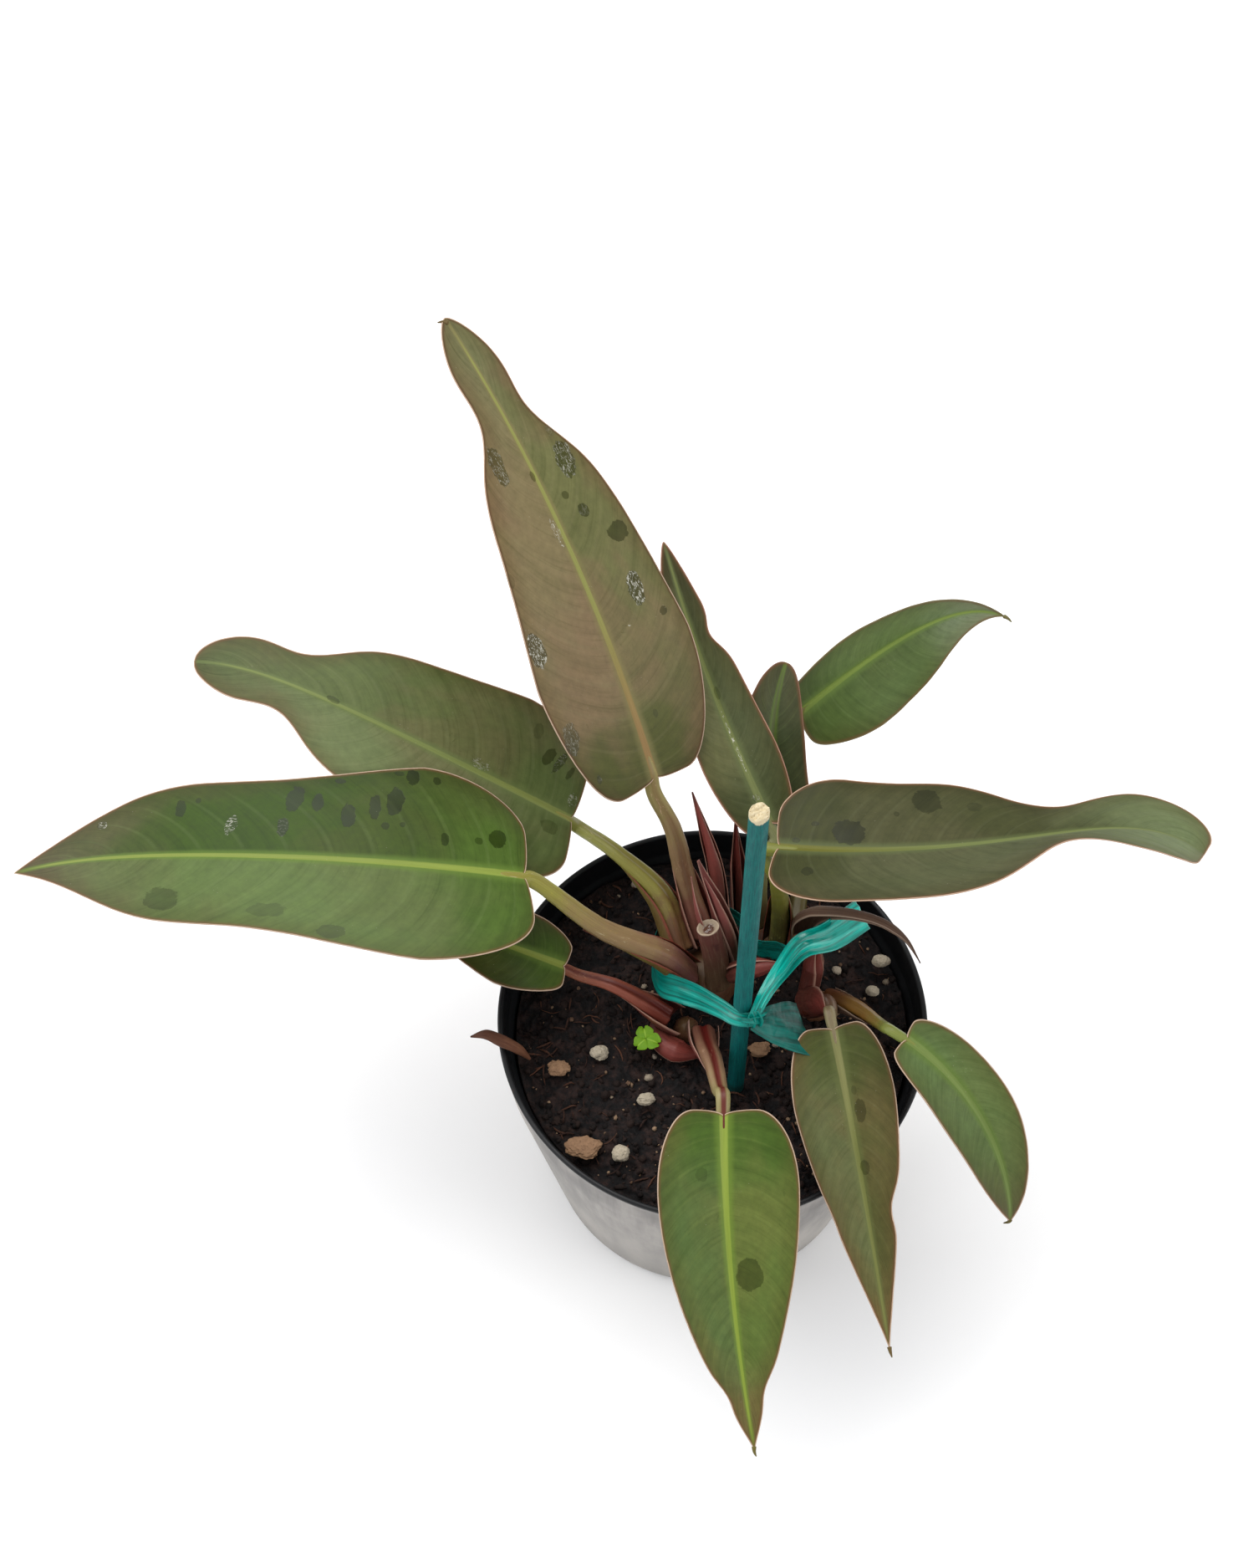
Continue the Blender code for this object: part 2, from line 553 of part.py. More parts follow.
def soil_height(x, y):
    """The uneven top of the soil, never above SOIL_TOP."""
    wave = (math.sin(x * 210 + 1.3) * math.cos(y * 190 - 0.4)
            + 0.6 * math.sin(x * 420 - y * 370))
    return SOIL_TOP - SOIL_ROUGHNESS * (0.5 - 0.5 * wave / 1.6)


def build_soil():
    slope = (POT_RIM_RADIUS - RIM_STEP - POT_BASE_RADIUS) / POT_HEIGHT
    steps = 48
    inside = POT_BASE_RADIUS - POT_WALL - GAP
    foot = POT_FLOOR + GAP
    rim = POT_BASE_RADIUS + slope * (POT_HEIGHT - RIM_DEPTH) - POT_WALL - GAP
    rings = [(inside - 0.0022, foot), (inside - 0.0001, foot + 0.0025)]
    rings.append((rim - 0.0002, POT_HEIGHT - RIM_DEPTH))
    points = []
    for radius, height in rings:
        for i in range(steps):
            angle = 2 * math.pi * i / steps
            points.append((radius * math.cos(angle), radius * math.sin(angle), height))
    for share in (1.0, 0.82, 0.64, 0.46, 0.28, 0.12, 0.01):
        for i in range(steps):
            angle = 2 * math.pi * i / steps
            x = rim * share * math.cos(angle) * 0.998
            y = rim * share * math.sin(angle) * 0.998
            points.append((x, y, soil_height(x, y)))
    faces = ring_faces(len(points) // steps, steps)
    soil = add_object("soil", points, faces, "soil")
    for name, stem in STEMS.items():
        x, y = stem["centre"]
        radius = stem["radius"] + GAP
        floor = SOIL_TOP - POCKET_DEPTH - GAP
        cutter = rod(f"cut_{name}", [(x, y, floor), (x, y, SOIL_TOP + 0.02)], [radius],
                     "soil", sides=16, count=2)
        cut(soil, cutter)
    path, _ = smooth_path(raised([STAKE_FOOT, STAKE_TOP]), 5)
    start = path[0] - (path[1] - path[0]) * 0.01
    cutter = rod("cut_stake", [start, path[-1]], [STAKE_TIP_RADIUS + 2 * GAP,
                 STAKE_RADIUS + 2 * GAP, STAKE_RADIUS + 2 * GAP, STAKE_RADIUS + 2 * GAP],
                 "soil", sides=10, count=9)
    cut(soil, cutter)


def build_stems():
    for name, stem in STEMS.items():
        x, y = stem["centre"]
        radius = stem["radius"]
        foot = SOIL_TOP - POCKET_DEPTH
        top = stem["top"] + PLANT_LIFT
        heights = [foot, SOIL_TOP - 0.004, (SOIL_TOP + top) / 2, top]
        points = [(x, y, height) for height in heights]
        rod(name, points, [radius * 0.8, radius, radius, radius * 0.82], "stem",
            sides=16, count=7)


def build_stake():
    radii = [STAKE_TIP_RADIUS, STAKE_RADIUS, STAKE_RADIUS, STAKE_RADIUS]
    rod("stake", raised([STAKE_FOOT, STAKE_TOP]), radii, "stake", sides=8, count=9)


def stake_centre(height):
    """Where the stake's line is in plan at this height."""
    foot, top = raised([STAKE_FOOT, STAKE_TOP])
    share = (height - foot[2]) / (top[2] - foot[2])
    return foot[0] + (top[0] - foot[0]) * share, foot[1] + (top[1] - foot[1]) * share


def loop_path():
    """The middle of the tie, low behind the plant and high where it holds the stake."""
    cx, cy = LOOP_CENTRE
    crossing = CROSSING_HEIGHT + PLANT_LIFT
    sx, sy = stake_centre(crossing)
    turn = STAKE_RADIUS + TAPE_SLACK
    points = []
    for degrees in range(10, 181, 24):
        angle = math.radians(degrees)
        points.append((cx + LOOP_RADIUS * math.cos(angle), cy + LOOP_RADIUS * math.sin(angle),
                       LOOP_HEIGHT + PLANT_LIFT))
    points += raised(LOOP_LEFT)
    for degrees in (205, 235, 265, 295, 325):
        angle = math.radians(degrees)
        points.append((sx + turn * math.cos(angle), sy + turn * math.sin(angle), crossing))
    return points + raised(LOOP_RIGHT)


def build_tape():
    """The band, a closed loop. Its knot and its two tails are joined to it."""
    path = np.array(loop_path())
    count = len(path)
    tangent = (np.roll(path, -1, axis=0) - np.roll(path, 1, axis=0))[:, :2]
    tangent /= np.linalg.norm(tangent, axis=1)[:, None]
    outward = np.stack([tangent[:, 1], -tangent[:, 0]], -1)
    verts = []
    for i in range(count):
        for across, out in ((-1, 0), (-1, 1), (1, 1), (1, 0)):
            px, py = path[i, :2] + outward[i] * TAPE_THICKNESS * out
            verts.append((px, py, path[i, 2] + across * TAPE_WIDTH / 2))
    tape = add_object("tie_tape", verts, ring_faces(count, 4, True), "tape")
    knot = rod("join_knot", raised(KNOT), [0.0030, 0.0034, 0.0030], "tape", sides=10, count=4)
    long_tail = rod("join_long_tail", raised(LONG_TAIL), [0.0026, 0.0042, 0.0050, 0.0050],
                    "tape", count=9, flat=0.14)
    short_tail = rod("join_short_tail", raised(SHORT_TAIL), [0.0024, 0.0050, 0.0062], "tape",
                     count=6, flat=0.14, across=(0.1, 0.8, -0.5))
    for piece in (knot, long_tail, short_tail):
        piece.hide_render = True
        piece.display_type = "WIRE"
        modifier = tape.modifiers.new(piece.name, "BOOLEAN")
        modifier.operation = "UNION"
        modifier.solver = "EXACT"
        modifier.object = piece


def build_seedling():
    """A plate with three rounded lobes."""
    steps = 36
    cx, cy, cz = raised([SEEDLING_TOP])[0]
    points = []
    for height in (0.0, 0.0006):
        for i in range(steps):
            angle = 2 * math.pi * i / steps
            radius = SEEDLING_RADIUS * (0.68 + 0.32 * math.cos(3 * angle + 0.6))
            points.append((cx + radius * math.cos(angle), cy + radius * math.sin(angle),
                           cz + height))
    add_object("seedling_leaves", points, ring_faces(2, steps), "seedling")


def build_grains():
    for name, (spot, half, slot) in GRAINS.items():
        points = []
        for height, spread in ((-1.0, 0.55), (-0.35, 1.0), (0.4, 0.9), (1.0, 0.45)):
            for i in range(8):
                angle = 2 * math.pi * i / 8
                bump = 1 + 0.12 * math.sin(5 * angle + spot[0] * 900)
                points.append((spot[0] + half[0] * spread * bump * math.cos(angle),
                               spot[1] + half[1] * spread * bump * math.sin(angle),
                               SOIL_TOP + GAP + half[2] * (1 + height)))
        add_object(name, points, ring_faces(4, 8), slot)


clear_scene()
build_pot()
build_soil()
build_stems()
build_stake()
build_tape()
for leaf_name, leaf_shape in LEAVES.items():
    blade(leaf_name, leaf_shape, LEAF_SLOTS[leaf_name])
for stalk_name, stalk_shape in STALKS.items():
    stalk(stalk_name, stalk_shape)
for shoot_name, shoot in SHOOTS.items():
    rod(shoot_name, raised(shoot["path"]), shoot["radii"], shoot["slot"], flat=shoot["flat"])
build_seedling()
build_grains()
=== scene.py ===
import math

import bpy
import numpy as np
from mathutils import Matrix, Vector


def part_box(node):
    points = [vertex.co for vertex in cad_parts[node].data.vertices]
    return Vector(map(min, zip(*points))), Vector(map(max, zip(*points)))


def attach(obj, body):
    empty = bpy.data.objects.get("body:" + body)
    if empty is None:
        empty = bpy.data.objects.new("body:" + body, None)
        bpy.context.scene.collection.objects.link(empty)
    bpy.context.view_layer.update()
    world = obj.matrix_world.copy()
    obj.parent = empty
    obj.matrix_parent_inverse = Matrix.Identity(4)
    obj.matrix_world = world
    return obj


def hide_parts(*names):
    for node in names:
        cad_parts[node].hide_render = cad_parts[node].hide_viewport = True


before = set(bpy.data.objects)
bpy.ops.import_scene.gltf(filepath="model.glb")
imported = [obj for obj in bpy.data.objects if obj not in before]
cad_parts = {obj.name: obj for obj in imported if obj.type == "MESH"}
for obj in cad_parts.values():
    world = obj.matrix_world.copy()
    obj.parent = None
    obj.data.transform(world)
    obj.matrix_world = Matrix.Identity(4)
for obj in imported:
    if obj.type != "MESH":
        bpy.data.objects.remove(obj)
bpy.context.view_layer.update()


# Meshes

def putMesh(name, parts, mat, nodes=(), smooth=True):
    # parts is a list of (points, faces, attributes) that become one object.
    points, starts, loops, attrs, base, loopBase = [], [], [], {}, 0, 0
    for pts, faces, extra in parts:
        for group in faces:
            group = np.asarray(group)
            if len(group) == 0:
                continue
            starts.append(loopBase + np.arange(len(group)) * group.shape[1])
            loops.append((group + base).ravel())
            loopBase += group.size
        for key, value in extra.items():
            attrs.setdefault(key, []).append((base, np.asarray(value, float)))
        points.append(np.asarray(pts, float))
        base += len(pts)
    points = np.concatenate(points)
    loops = np.concatenate(loops)
    starts = np.concatenate(starts)
    mesh = bpy.data.meshes.new(name)
    mesh.vertices.add(len(points))
    mesh.vertices.foreach_set("co", points.ravel())
    mesh.loops.add(len(loops))
    mesh.loops.foreach_set("vertex_index", loops.astype(np.int32))
    mesh.polygons.add(len(starts))
    mesh.polygons.foreach_set("loop_start", starts.astype(np.int32))
    for key, found in attrs.items():
        width = found[0][1].shape[1] if found[0][1].ndim > 1 else 1
        full = np.zeros((len(points), width))
        for start, value in found:
            full[start:start + len(value)] = value.reshape(len(value), width)
        kind = "FLOAT" if width == 1 else "FLOAT_VECTOR"
        layer = mesh.attributes.new(key, kind, "POINT")
        layer.data.foreach_set("value" if width == 1 else "vector", full.ravel())
    mesh.update(calc_edges=True)
    mesh.validate()
    mesh.shade_smooth() if smooth else mesh.shade_flat()
    obj = bpy.data.objects.new(name, mesh)
    bpy.context.scene.collection.objects.link(obj)
    if mat:
        mesh.materials.append(mat)
    if nodes:
        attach(obj, "root")
        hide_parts(*nodes)
    return obj


def gridFaces(rows, cols, wrapCols=False, wrapRows=False, flip=False):
    r = np.arange(rows if wrapRows else rows - 1)[:, None]
    c = np.arange(cols if wrapCols else cols - 1)[None, :]
    r2, c2 = (r + 1) % rows, (c + 1) % cols
    quads = np.stack(np.broadcast_arrays(r * cols + c, r * cols + c2, r2 * cols + c2,
                                         r2 * cols + c), -1).reshape(-1, 4)
    return quads[:, ::-1] if flip else quads


def fan(ring, centre, flip=False):
    tri = np.stack([ring, np.roll(ring, -1), np.full(len(ring), centre)], -1)
    return tri[:, ::-1] if flip else tri


def unit(a):
    return a / np.maximum(np.linalg.norm(a, axis=-1, keepdims=True), 1e-12)


def ease(x, a, b):
    t = np.clip((x - a) / (b - a), 0, 1)
    return t * t * (3 - 2 * t)


def curve(points, count):
    # Evenly spaced points on the smooth line through the given ones, with shares.
    points = np.array(points, float)
    ends = np.vstack([2 * points[0] - points[1], points, 2 * points[-1] - points[-2]])
    t = np.linspace(0, 1, 40, endpoint=False)[:, None]
    out = []
    for i in range(len(points) - 1):
        a, b, c, d = ends[i:i + 4]
        out.append(0.5 * (2 * b + (c - a) * t + (2 * a - 5 * b + 4 * c - d) * t ** 2
                          + (3 * b - a - 3 * c + d) * t ** 3))
    out = np.concatenate(out + [points[-1:]])
    run = np.concatenate([[0], np.cumsum(np.linalg.norm(np.diff(out, axis=0), axis=1))])
    share = np.linspace(0, 1, count)
    line = np.stack([np.interp(share, run / run[-1], out[:, k]) for k in range(3)], -1)
    return line, share, run[-1]


def pathFrames(path, hint):
    # Forward, sideways and up along a path, carried from a sideways hint.
    forward = unit(np.gradient(path, axis=0))
    side = np.array(hint, float)
    sides = []
    for direction in forward:
        side = side - direction * (side @ direction)
        side = side / np.linalg.norm(side)
        sides.append(side)
    sides = np.array(sides)
    return forward, sides, np.cross(forward, sides)


def ripple(points, scale, seed, octaves=3):
    # Smooth repeatable noise in -1..1 from sums of turned sines.
    gen = np.random.default_rng(seed)
    total = np.zeros(len(points))
    amp, norm = 1.0, 0.0
    for _ in range(octaves):
        for _ in range(4):
            way = unit(gen.normal(size=3)) * scale
            total += amp * np.sin(points @ way + gen.uniform(0, 6.28)
                                  + 1.3 * np.sin(points @ unit(gen.normal(size=3)) * scale * 0.7))
        norm += amp * 2.2
        scale, amp = scale * 2.1, amp * 0.55
    return total / norm


def tube(path, radius, sides=28, flat=1.0, hint=(1, 0, 0), section=None):
    # A tube with rounded ends. section(angle, share) gives a factor on the radius.
    count = len(path)
    share = np.linspace(0, 1, count)
    _, side, up = pathFrames(path, hint)
    angle = np.linspace(0, 2 * np.pi, sides, endpoint=False)
    radius = np.broadcast_to(radius, (count,))[:, None]
    shape = np.ones((count, sides)) if section is None else section(angle[None], share[:, None])
    rad = radius * shape
    rings = (path[:, None] + side[:, None] * (rad * np.cos(angle))[..., None]
             + up[:, None] * (rad * np.sin(angle) * flat)[..., None])
    points = np.concatenate([rings.reshape(-1, 3), path[:1], path[-1:]])
    faces = [gridFaces(count, sides, wrapCols=True),
             fan(np.arange(sides), count * sides, flip=True),
             fan(np.arange(sides) + (count - 1) * sides, count * sides + 1)]
    spread = np.broadcast_to(share[:, None], (count, sides)).ravel()
    turn = np.broadcast_to(angle[None] / (2 * np.pi), (count, sides)).ravel()
    along = np.concatenate([spread, [0, 1]])
    return points, faces, {"along": along, "turn": np.concatenate([turn, [0, 0]])}


def roundEnds(share, start=0.02, end=0.02, power=0.5):
    # Radius factor that closes a tube's two ends like a dome.
    a = np.clip(share / max(start, 1e-6), 0, 1)
    b = np.clip((1 - share) / max(end, 1e-6), 0, 1)
    return (1 - (1 - a) ** 2) ** power * (1 - (1 - b) ** 2) ** power


def sheetSolid(top, normals, thickness, extra):
    # A thin closed sheet from a grid of points (rows, cols, 3), with its rim closed.
    rows, cols = top.shape[:2]
    thick = np.broadcast_to(thickness, (rows, cols))[..., None]
    under = top - normals * thick
    edge = np.concatenate([np.arange(cols), (np.arange(1, rows) * cols + cols - 1),
                           ((rows - 1) * cols + np.arange(cols - 2, -1, -1)),
                           (np.arange(rows - 2, 0, -1) * cols)])
    middle = ((top + under) / 2).reshape(-1, 3)[edge]
    points = np.concatenate([top.reshape(-1, 3), under.reshape(-1, 3), middle])
    n = rows * cols
    m = np.arange(len(edge)) + 2 * n
    nxt = np.roll(np.arange(len(edge)), -1)
    rim = np.concatenate([np.stack([edge, m, m[nxt], edge[nxt]], -1),
                          np.stack([m, edge + n, edge[nxt] + n, m[nxt]], -1)])
    faces = [gridFaces(rows, cols), gridFaces(rows, cols, flip=True) + n, rim]
    attrs = {}
    for key, value in extra.items():
        value = value.reshape(rows * cols, -1)
        attrs[key] = np.concatenate([value, value, value[edge]]).squeeze()
    attrs["under"] = np.concatenate([np.zeros(n), np.ones(n), np.full(len(edge), 0.5)])
    return points, faces, attrs


# Shader nodes

class Val:
    # A node socket with arithmetic.
    def __init__(self, mat, socket):
        self.mat, self.socket = mat, socket

    def op(self, kind, *others):
        return self.mat.node("ShaderNodeMath", {"operation": kind}, self, *others)[0]

    def __add__(self, o):
        return self.op("ADD", o)

    def __sub__(self, o):
        return self.op("SUBTRACT", o)

    def __mul__(self, o):
        return self.op("MULTIPLY", o)

    def __truediv__(self, o):
        return self.op("DIVIDE", o)

    def __pow__(self, o):
        return self.op("POWER", o)

    __radd__ = __add__
    __rmul__ = __mul__

    def __rsub__(self, o):
        return self.mat.node("ShaderNodeMath", {"operation": "SUBTRACT"}, o, self)[0]

    def __neg__(self):
        return self * -1.0

    def abs(self):
        return self.op("ABSOLUTE")

    def max(self, o):
        return self.op("MAXIMUM", o)

    def sin(self):
        return self.op("SINE")

    def step(self, a, b):
        # 0 below a, 1 above b, smooth between; falls if a > b.
        if a > b:
            return 1.0 - self.step(b, a)
        out = self.mat.node("ShaderNodeMapRange",
                            {"interpolation_type": "SMOOTHSTEP"}, self, a, b, 0.0, 1.0)
        return out[0]


class Mat:
    # Builds one node material.
    def __init__(self, name, **fixed):
        self.mat = bpy.data.materials.new(name)
        self.mat.use_nodes = True
        self.tree = self.mat.node_tree
        self.shader = self.tree.nodes["Principled BSDF"]
        self.shader.inputs["Specular IOR Level"].default_value = 0.22
        for key, value in fixed.items():
            self.shader.inputs[key.replace("_", " ")].default_value = value

    def node(self, kind, settings=None, *inputs, **named):
        made = self.tree.nodes.new(kind)
        for key, value in (settings or {}).items():
            setattr(made, key, value)
        for index, value in list(enumerate(inputs)) + list(named.items()):
            if value is None:
                continue
            key = index if isinstance(index, int) else index.replace("_", " ")
            self.put(made.inputs[key], value)
        return [Val(self, out) for out in made.outputs]

    def put(self, socket, value):
        if isinstance(value, Val):
            self.tree.links.new(value.socket, socket)
        elif isinstance(value, (tuple, list)) and len(value) == 3 and socket.type == "RGBA":
            socket.default_value = (*value, 1.0)
        else:
            socket.default_value = value

    def attr(self, name, vector=False):
        out = self.node("ShaderNodeAttribute", {"attribute_name": name})
        return out[1] if vector else out[2]

    def objectPos(self):
        return self.node("ShaderNodeTexCoord")[3]

    def split(self, vector):
        return self.node("ShaderNodeSeparateXYZ", None, vector)

    def join(self, x, y, z=0.0):
        return self.node("ShaderNodeCombineXYZ", None, x, y, z)[0]

    def noise(self, vector, scale, detail=3.0, rough=0.55, warp=0.0):
        out = self.node("ShaderNodeTexNoise", None, Vector=vector, Scale=scale, Detail=detail,
                        Roughness=rough, Distortion=warp)
        return out[0]

    def voronoi(self, vector, scale, feature="F1", randomness=1.0):
        out = self.node("ShaderNodeTexVoronoi", {"feature": feature}, Vector=vector,
                        Scale=scale, Randomness=randomness)
        return out[0], out[1]

    def mix(self, a, b, share):
        made = self.tree.nodes.new("ShaderNodeMix")
        made.data_type = "RGBA"
        self.put(made.inputs[0], share)
        self.put(made.inputs[6], a)
        self.put(made.inputs[7], b)
        return Val(self, made.outputs[2])

    def multiply(self, a, b):
        made = self.tree.nodes.new("ShaderNodeMix")
        made.data_type, made.blend_type = "RGBA", "MULTIPLY"
        made.inputs[0].default_value = 1.0
        self.put(made.inputs[6], a)
        self.put(made.inputs[7], b)
        return Val(self, made.outputs[2])

    def bump(self, height, strength, distance, normal=None):
        return self.node("ShaderNodeBump", None, Strength=strength, Distance=distance,
                         Height=height, Normal=normal)[0]

    def finish(self, **drive):
        for key, value in drive.items():
            self.put(self.shader.inputs[key.replace("_", " ")], value)
        return self.mat


def linear(r, g, b):
    # Screen colour 0..255 to linear.
    c = np.array([r, g, b]) / 255
    return tuple(float(x) for x in np.where(c <= 0.04045, c / 12.92, ((c + 0.055) / 1.055) ** 2.4))


# Leaves

leafCommon = {
    "droop": 10, "sweep": 0, "roll": 0, "twist": 0, "lobe": 0.02, "peak": 0.25, "blunt": 1.6,
    "point": 0.8, "lop": 0.0, "fold": 5, "waist": 0.0, "waistAt": 0.7, "waistWidth": 0.08,
    "waistLop": 0.0, "tipSweep": 0,
    "wave": 0.0006, "waves": 2.3, "phase": 0.0, "hook": [], "wet": [],
}


def leafOutline(leaf, side, shares):
    # (along, across) on one margin, from the notch round the lobe to the tip.
    lobe, peak, bend = leaf["lobe"], leaf["peak"], 0.45
    turn = np.linspace(0, np.pi / 2, 60)
    inner = np.stack([-lobe * np.sin(turn), bend * (1 - np.cos(turn))], -1)
    outer = np.stack([peak - (peak + lobe) * np.cos(turn), bend + (1 - bend) * np.sin(turn)], -1)
    x = np.linspace(0, 1, 400)[1:]
    along = peak + (1 - peak) * x
    width = (1 - x ** leaf["blunt"]) ** leaf["point"]
    waist = leaf["waist"] * (1 + side * leaf["waistLop"])
    width *= 1 - waist * np.exp(-((along - leaf["waistAt"]) / leaf["waistWidth"]) ** 2)
    line = np.concatenate([inner, outer[1:], np.stack([along, width], -1)])
    real = line * (leaf["length"], leaf["width"] / 2)
    run = np.concatenate([[0], np.cumsum(np.linalg.norm(np.diff(real, axis=0), axis=1))])
    found = np.stack([np.interp(shares, run / run[-1], line[:, k]) for k in range(2)], -1)
    found[:, 1] *= side * (1 + side * leaf["lop"])
    return found


def leafFrame(leaf, along):
    # Midrib point, forward, sideways and normal at shares of the length.
    s = np.linspace(-0.2, 1, 241)
    k = np.clip(s, 0, None)
    heading = np.radians(leaf["heading"] + leaf["sweep"] * k + leaf["tipSweep"] * k ** 6)
    pitch = np.radians(leaf["pitch"] - leaf["droop"] * k)
    forward = np.stack([np.cos(pitch) * np.cos(heading), np.cos(pitch) * np.sin(heading),
                        np.sin(pitch)], -1)
    step = (s[1] - s[0]) * leaf["length"]
    centre = np.concatenate([np.zeros((1, 3)),
                             np.cumsum((forward[1:] + forward[:-1]) / 2 * step, axis=0)])
    centre = centre - centre[np.argmin(abs(s))] + np.array(leaf["base"])
    side = np.stack([-np.sin(heading), np.cos(heading), 0 * heading], -1)
    normal = np.cross(forward, side)
    roll = np.radians(leaf["roll"] + leaf["twist"] * k)[:, None]
    side, normal = (side * np.cos(roll) + normal * np.sin(roll),
                    normal * np.cos(roll) - side * np.sin(roll))
    return [np.stack([np.interp(along, s, a[:, i]) for i in range(3)], -1)
            for a in (centre, forward, side, normal)]


def leafSurface(leaf, rows=150, cols=26):
    # Grid of points over the whole blade, from one margin to the other, in ribs.
    shares = np.linspace(0, 1, rows + 2)[1:-1]
    shares = shares - 0.35 * np.sin(2 * np.pi * shares) / (2 * np.pi)
    middle = shares ** 1.15
    left, right = leafOutline(leaf, 1, shares), leafOutline(leaf, -1, shares)
    u = np.linspace(-1, 1, 2 * cols + 1)
    # More columns near the margin and near the midrib.
    u = np.sign(u) * (abs(u) - 0.10 * np.sin(2 * np.pi * abs(u)))
    margin = np.where((u >= 0)[None, :, None], left[:, None], right[:, None])
    along = middle[:, None] * (1 - abs(u)) + margin[..., 0] * abs(u)
    across = margin[..., 1] * abs(u)[None] * leaf["width"] / 2
    return shares, u, along, across


def leafPlace(leaf, along, across, u, lift=0.0):
    half = leaf["width"] / 2
    fold = math.radians(leaf["fold"])
    shape = along.shape
    centre, forward, side, normal = leafFrame(leaf, along.ravel())
    x = (across * math.cos(fold)).ravel()
    rise = abs(across) * math.sin(fold)
    # The fold is rounded over the midrib, and the blade waves more towards the margin.
    rise = np.sqrt(rise ** 2 + (0.0006 * math.sin(fold) + 1e-6) ** 2)
    rib = abs(across) / half
    wave = leaf["wave"] * np.sin(2 * np.pi * leaf["waves"] * along + leaf["phase"]
                                 + np.sign(u) * 0.9) * rib ** 2
    quilt = -0.00012 * np.cos(2 * np.pi * 9 * (along - 0.35 * abs(u))) * rib * (1 - rib ** 4)
    groove = -0.00035 * np.exp(-(across / 0.0011) ** 2) * ease(along, 1.0, 0.5)
    z = (rise + wave + quilt + groove + lift).ravel()
    points = centre + side * x[:, None] + normal * z[:, None]
    return points.reshape(*shape, 3), normal.reshape(*shape, 3), forward, side


def leafMesh(leaf):
    shares, u, along, across = leafSurface(leaf)
    uu = np.broadcast_to(u, along.shape)
    top, flatNormal, _, _ = leafPlace(leaf, along, across, uu)
    rows, cols = along.shape
    normal = unit(np.cross(np.gradient(top, axis=0), np.gradient(top, axis=1)))
    flip = np.sign((normal * flatNormal).sum(-1, keepdims=True))
    normal = unit(normal * flip * 0.7 + flatNormal * 0.3)
    ribLength = np.abs(np.where(uu >= 0, across[:, -1:], across[:, :1]))
    edge = (1 - abs(uu)) * ribLength
    # Thin at the margin, with the midrib standing out below.
    thick = 0.00030 + 0.00025 * ease(edge, 0, 0.002)
    thick = thick + 0.0014 * np.exp(-(across / 0.0012) ** 2) * (1.02 - along) ** 1.2
    under = top - normal * thick[..., None]
    ends, _, _, endNormal = leafFrame(leaf, np.array([0.0, 1.0]))
    n = rows * cols
    leftEdge = np.arange(rows) * cols
    rightEdge = leftEdge + cols - 1
    notch, tip = 2 * n, 2 * n + 1
    points = np.concatenate([top.reshape(-1, 3), under.reshape(-1, 3),
                             ends - endNormal * 0.0002])
    row = np.arange(cols - 1)
    last = (rows - 1) * cols

    def closeEdge(edgeRow, flip):
        line = np.concatenate([[notch], edgeRow, [tip]])
        lower = np.concatenate([[notch], edgeRow + n, [tip]])
        quads = np.stack([line[1:-2], line[2:-1], lower[2:-1], lower[1:-2]], -1)
        tris = np.array([[notch, line[1], lower[1]], [line[-2], tip, lower[-2]]])
        return (quads[:, ::-1], tris[:, ::-1]) if flip else (quads, tris)

    a, at = closeEdge(leftEdge, True)
    b, bt = closeEdge(rightEdge, False)
    caps = np.concatenate([
        np.stack([np.full(cols - 1, notch), row, row + 1], -1),
        np.stack([np.full(cols - 1, notch), row + 1 + n, row + n], -1),
        np.stack([np.full(cols - 1, tip), last + row + 1, last + row], -1),
        np.stack([np.full(cols - 1, tip), last + row + n, last + row + 1 + n], -1), at, bt])
    faces = [gridFaces(rows, cols, flip=True), gridFaces(rows, cols) + n, a, b, caps]
    # The winding is turned if the top faces the wrong way.
    q = faces[0][n // 2 - cols // 3]
    way = np.cross(points[q[1]] - points[q[0]], points[q[2]] - points[q[0]])
    if way @ normal.reshape(-1, 3)[q[0]] < 0:
        faces = [group[:, ::-1] for group in faces]
    vv = np.broadcast_to(shares[:, None], along.shape)

    def double(value, atNotch, atTip):
        return np.concatenate([value.ravel(), value.ravel(), [atNotch, atTip]])

    attrs = {
        "ribs": np.stack([double(uu, 0, 0), double(vv, 0, 1), double(along, 0, 1)], -1),
        "flat": np.stack([double(across, 0, 0), double(along * leaf["length"], 0,
                          leaf["length"]), double(edge, 0, 0)], -1),
        "under": np.concatenate([np.zeros(n), np.ones(n), [0.5, 0.5]]),
    }
    parts = [(points, faces, attrs)]
    if leaf["hook"]:
        # A fine drip tip carried on from the end of the midrib, in tip-forward steps.
        c, f, s, m = leafFrame(leaf, np.array([0.985]))
        steps = [c[0] + f[0] * x + s[0] * y + m[0] * z for x, y, z in leaf["hook"]]
        path, share, _ = curve(steps, 14)
        radius = (0.00075 * (1 - share) ** 0.8 + 0.00012) * roundEnds(share, 0.05, 0.03)
        pts, fcs, _ = tube(path, radius, sides=10)
        k = len(pts)
        parts.append((pts, fcs, {
            "ribs": np.tile([0.0, 1.0, 1.0], (k, 1)),
            "flat": np.tile([0.0, leaf["length"], 0.0006], (k, 1)), "under": np.zeros(k)}))
    return parts


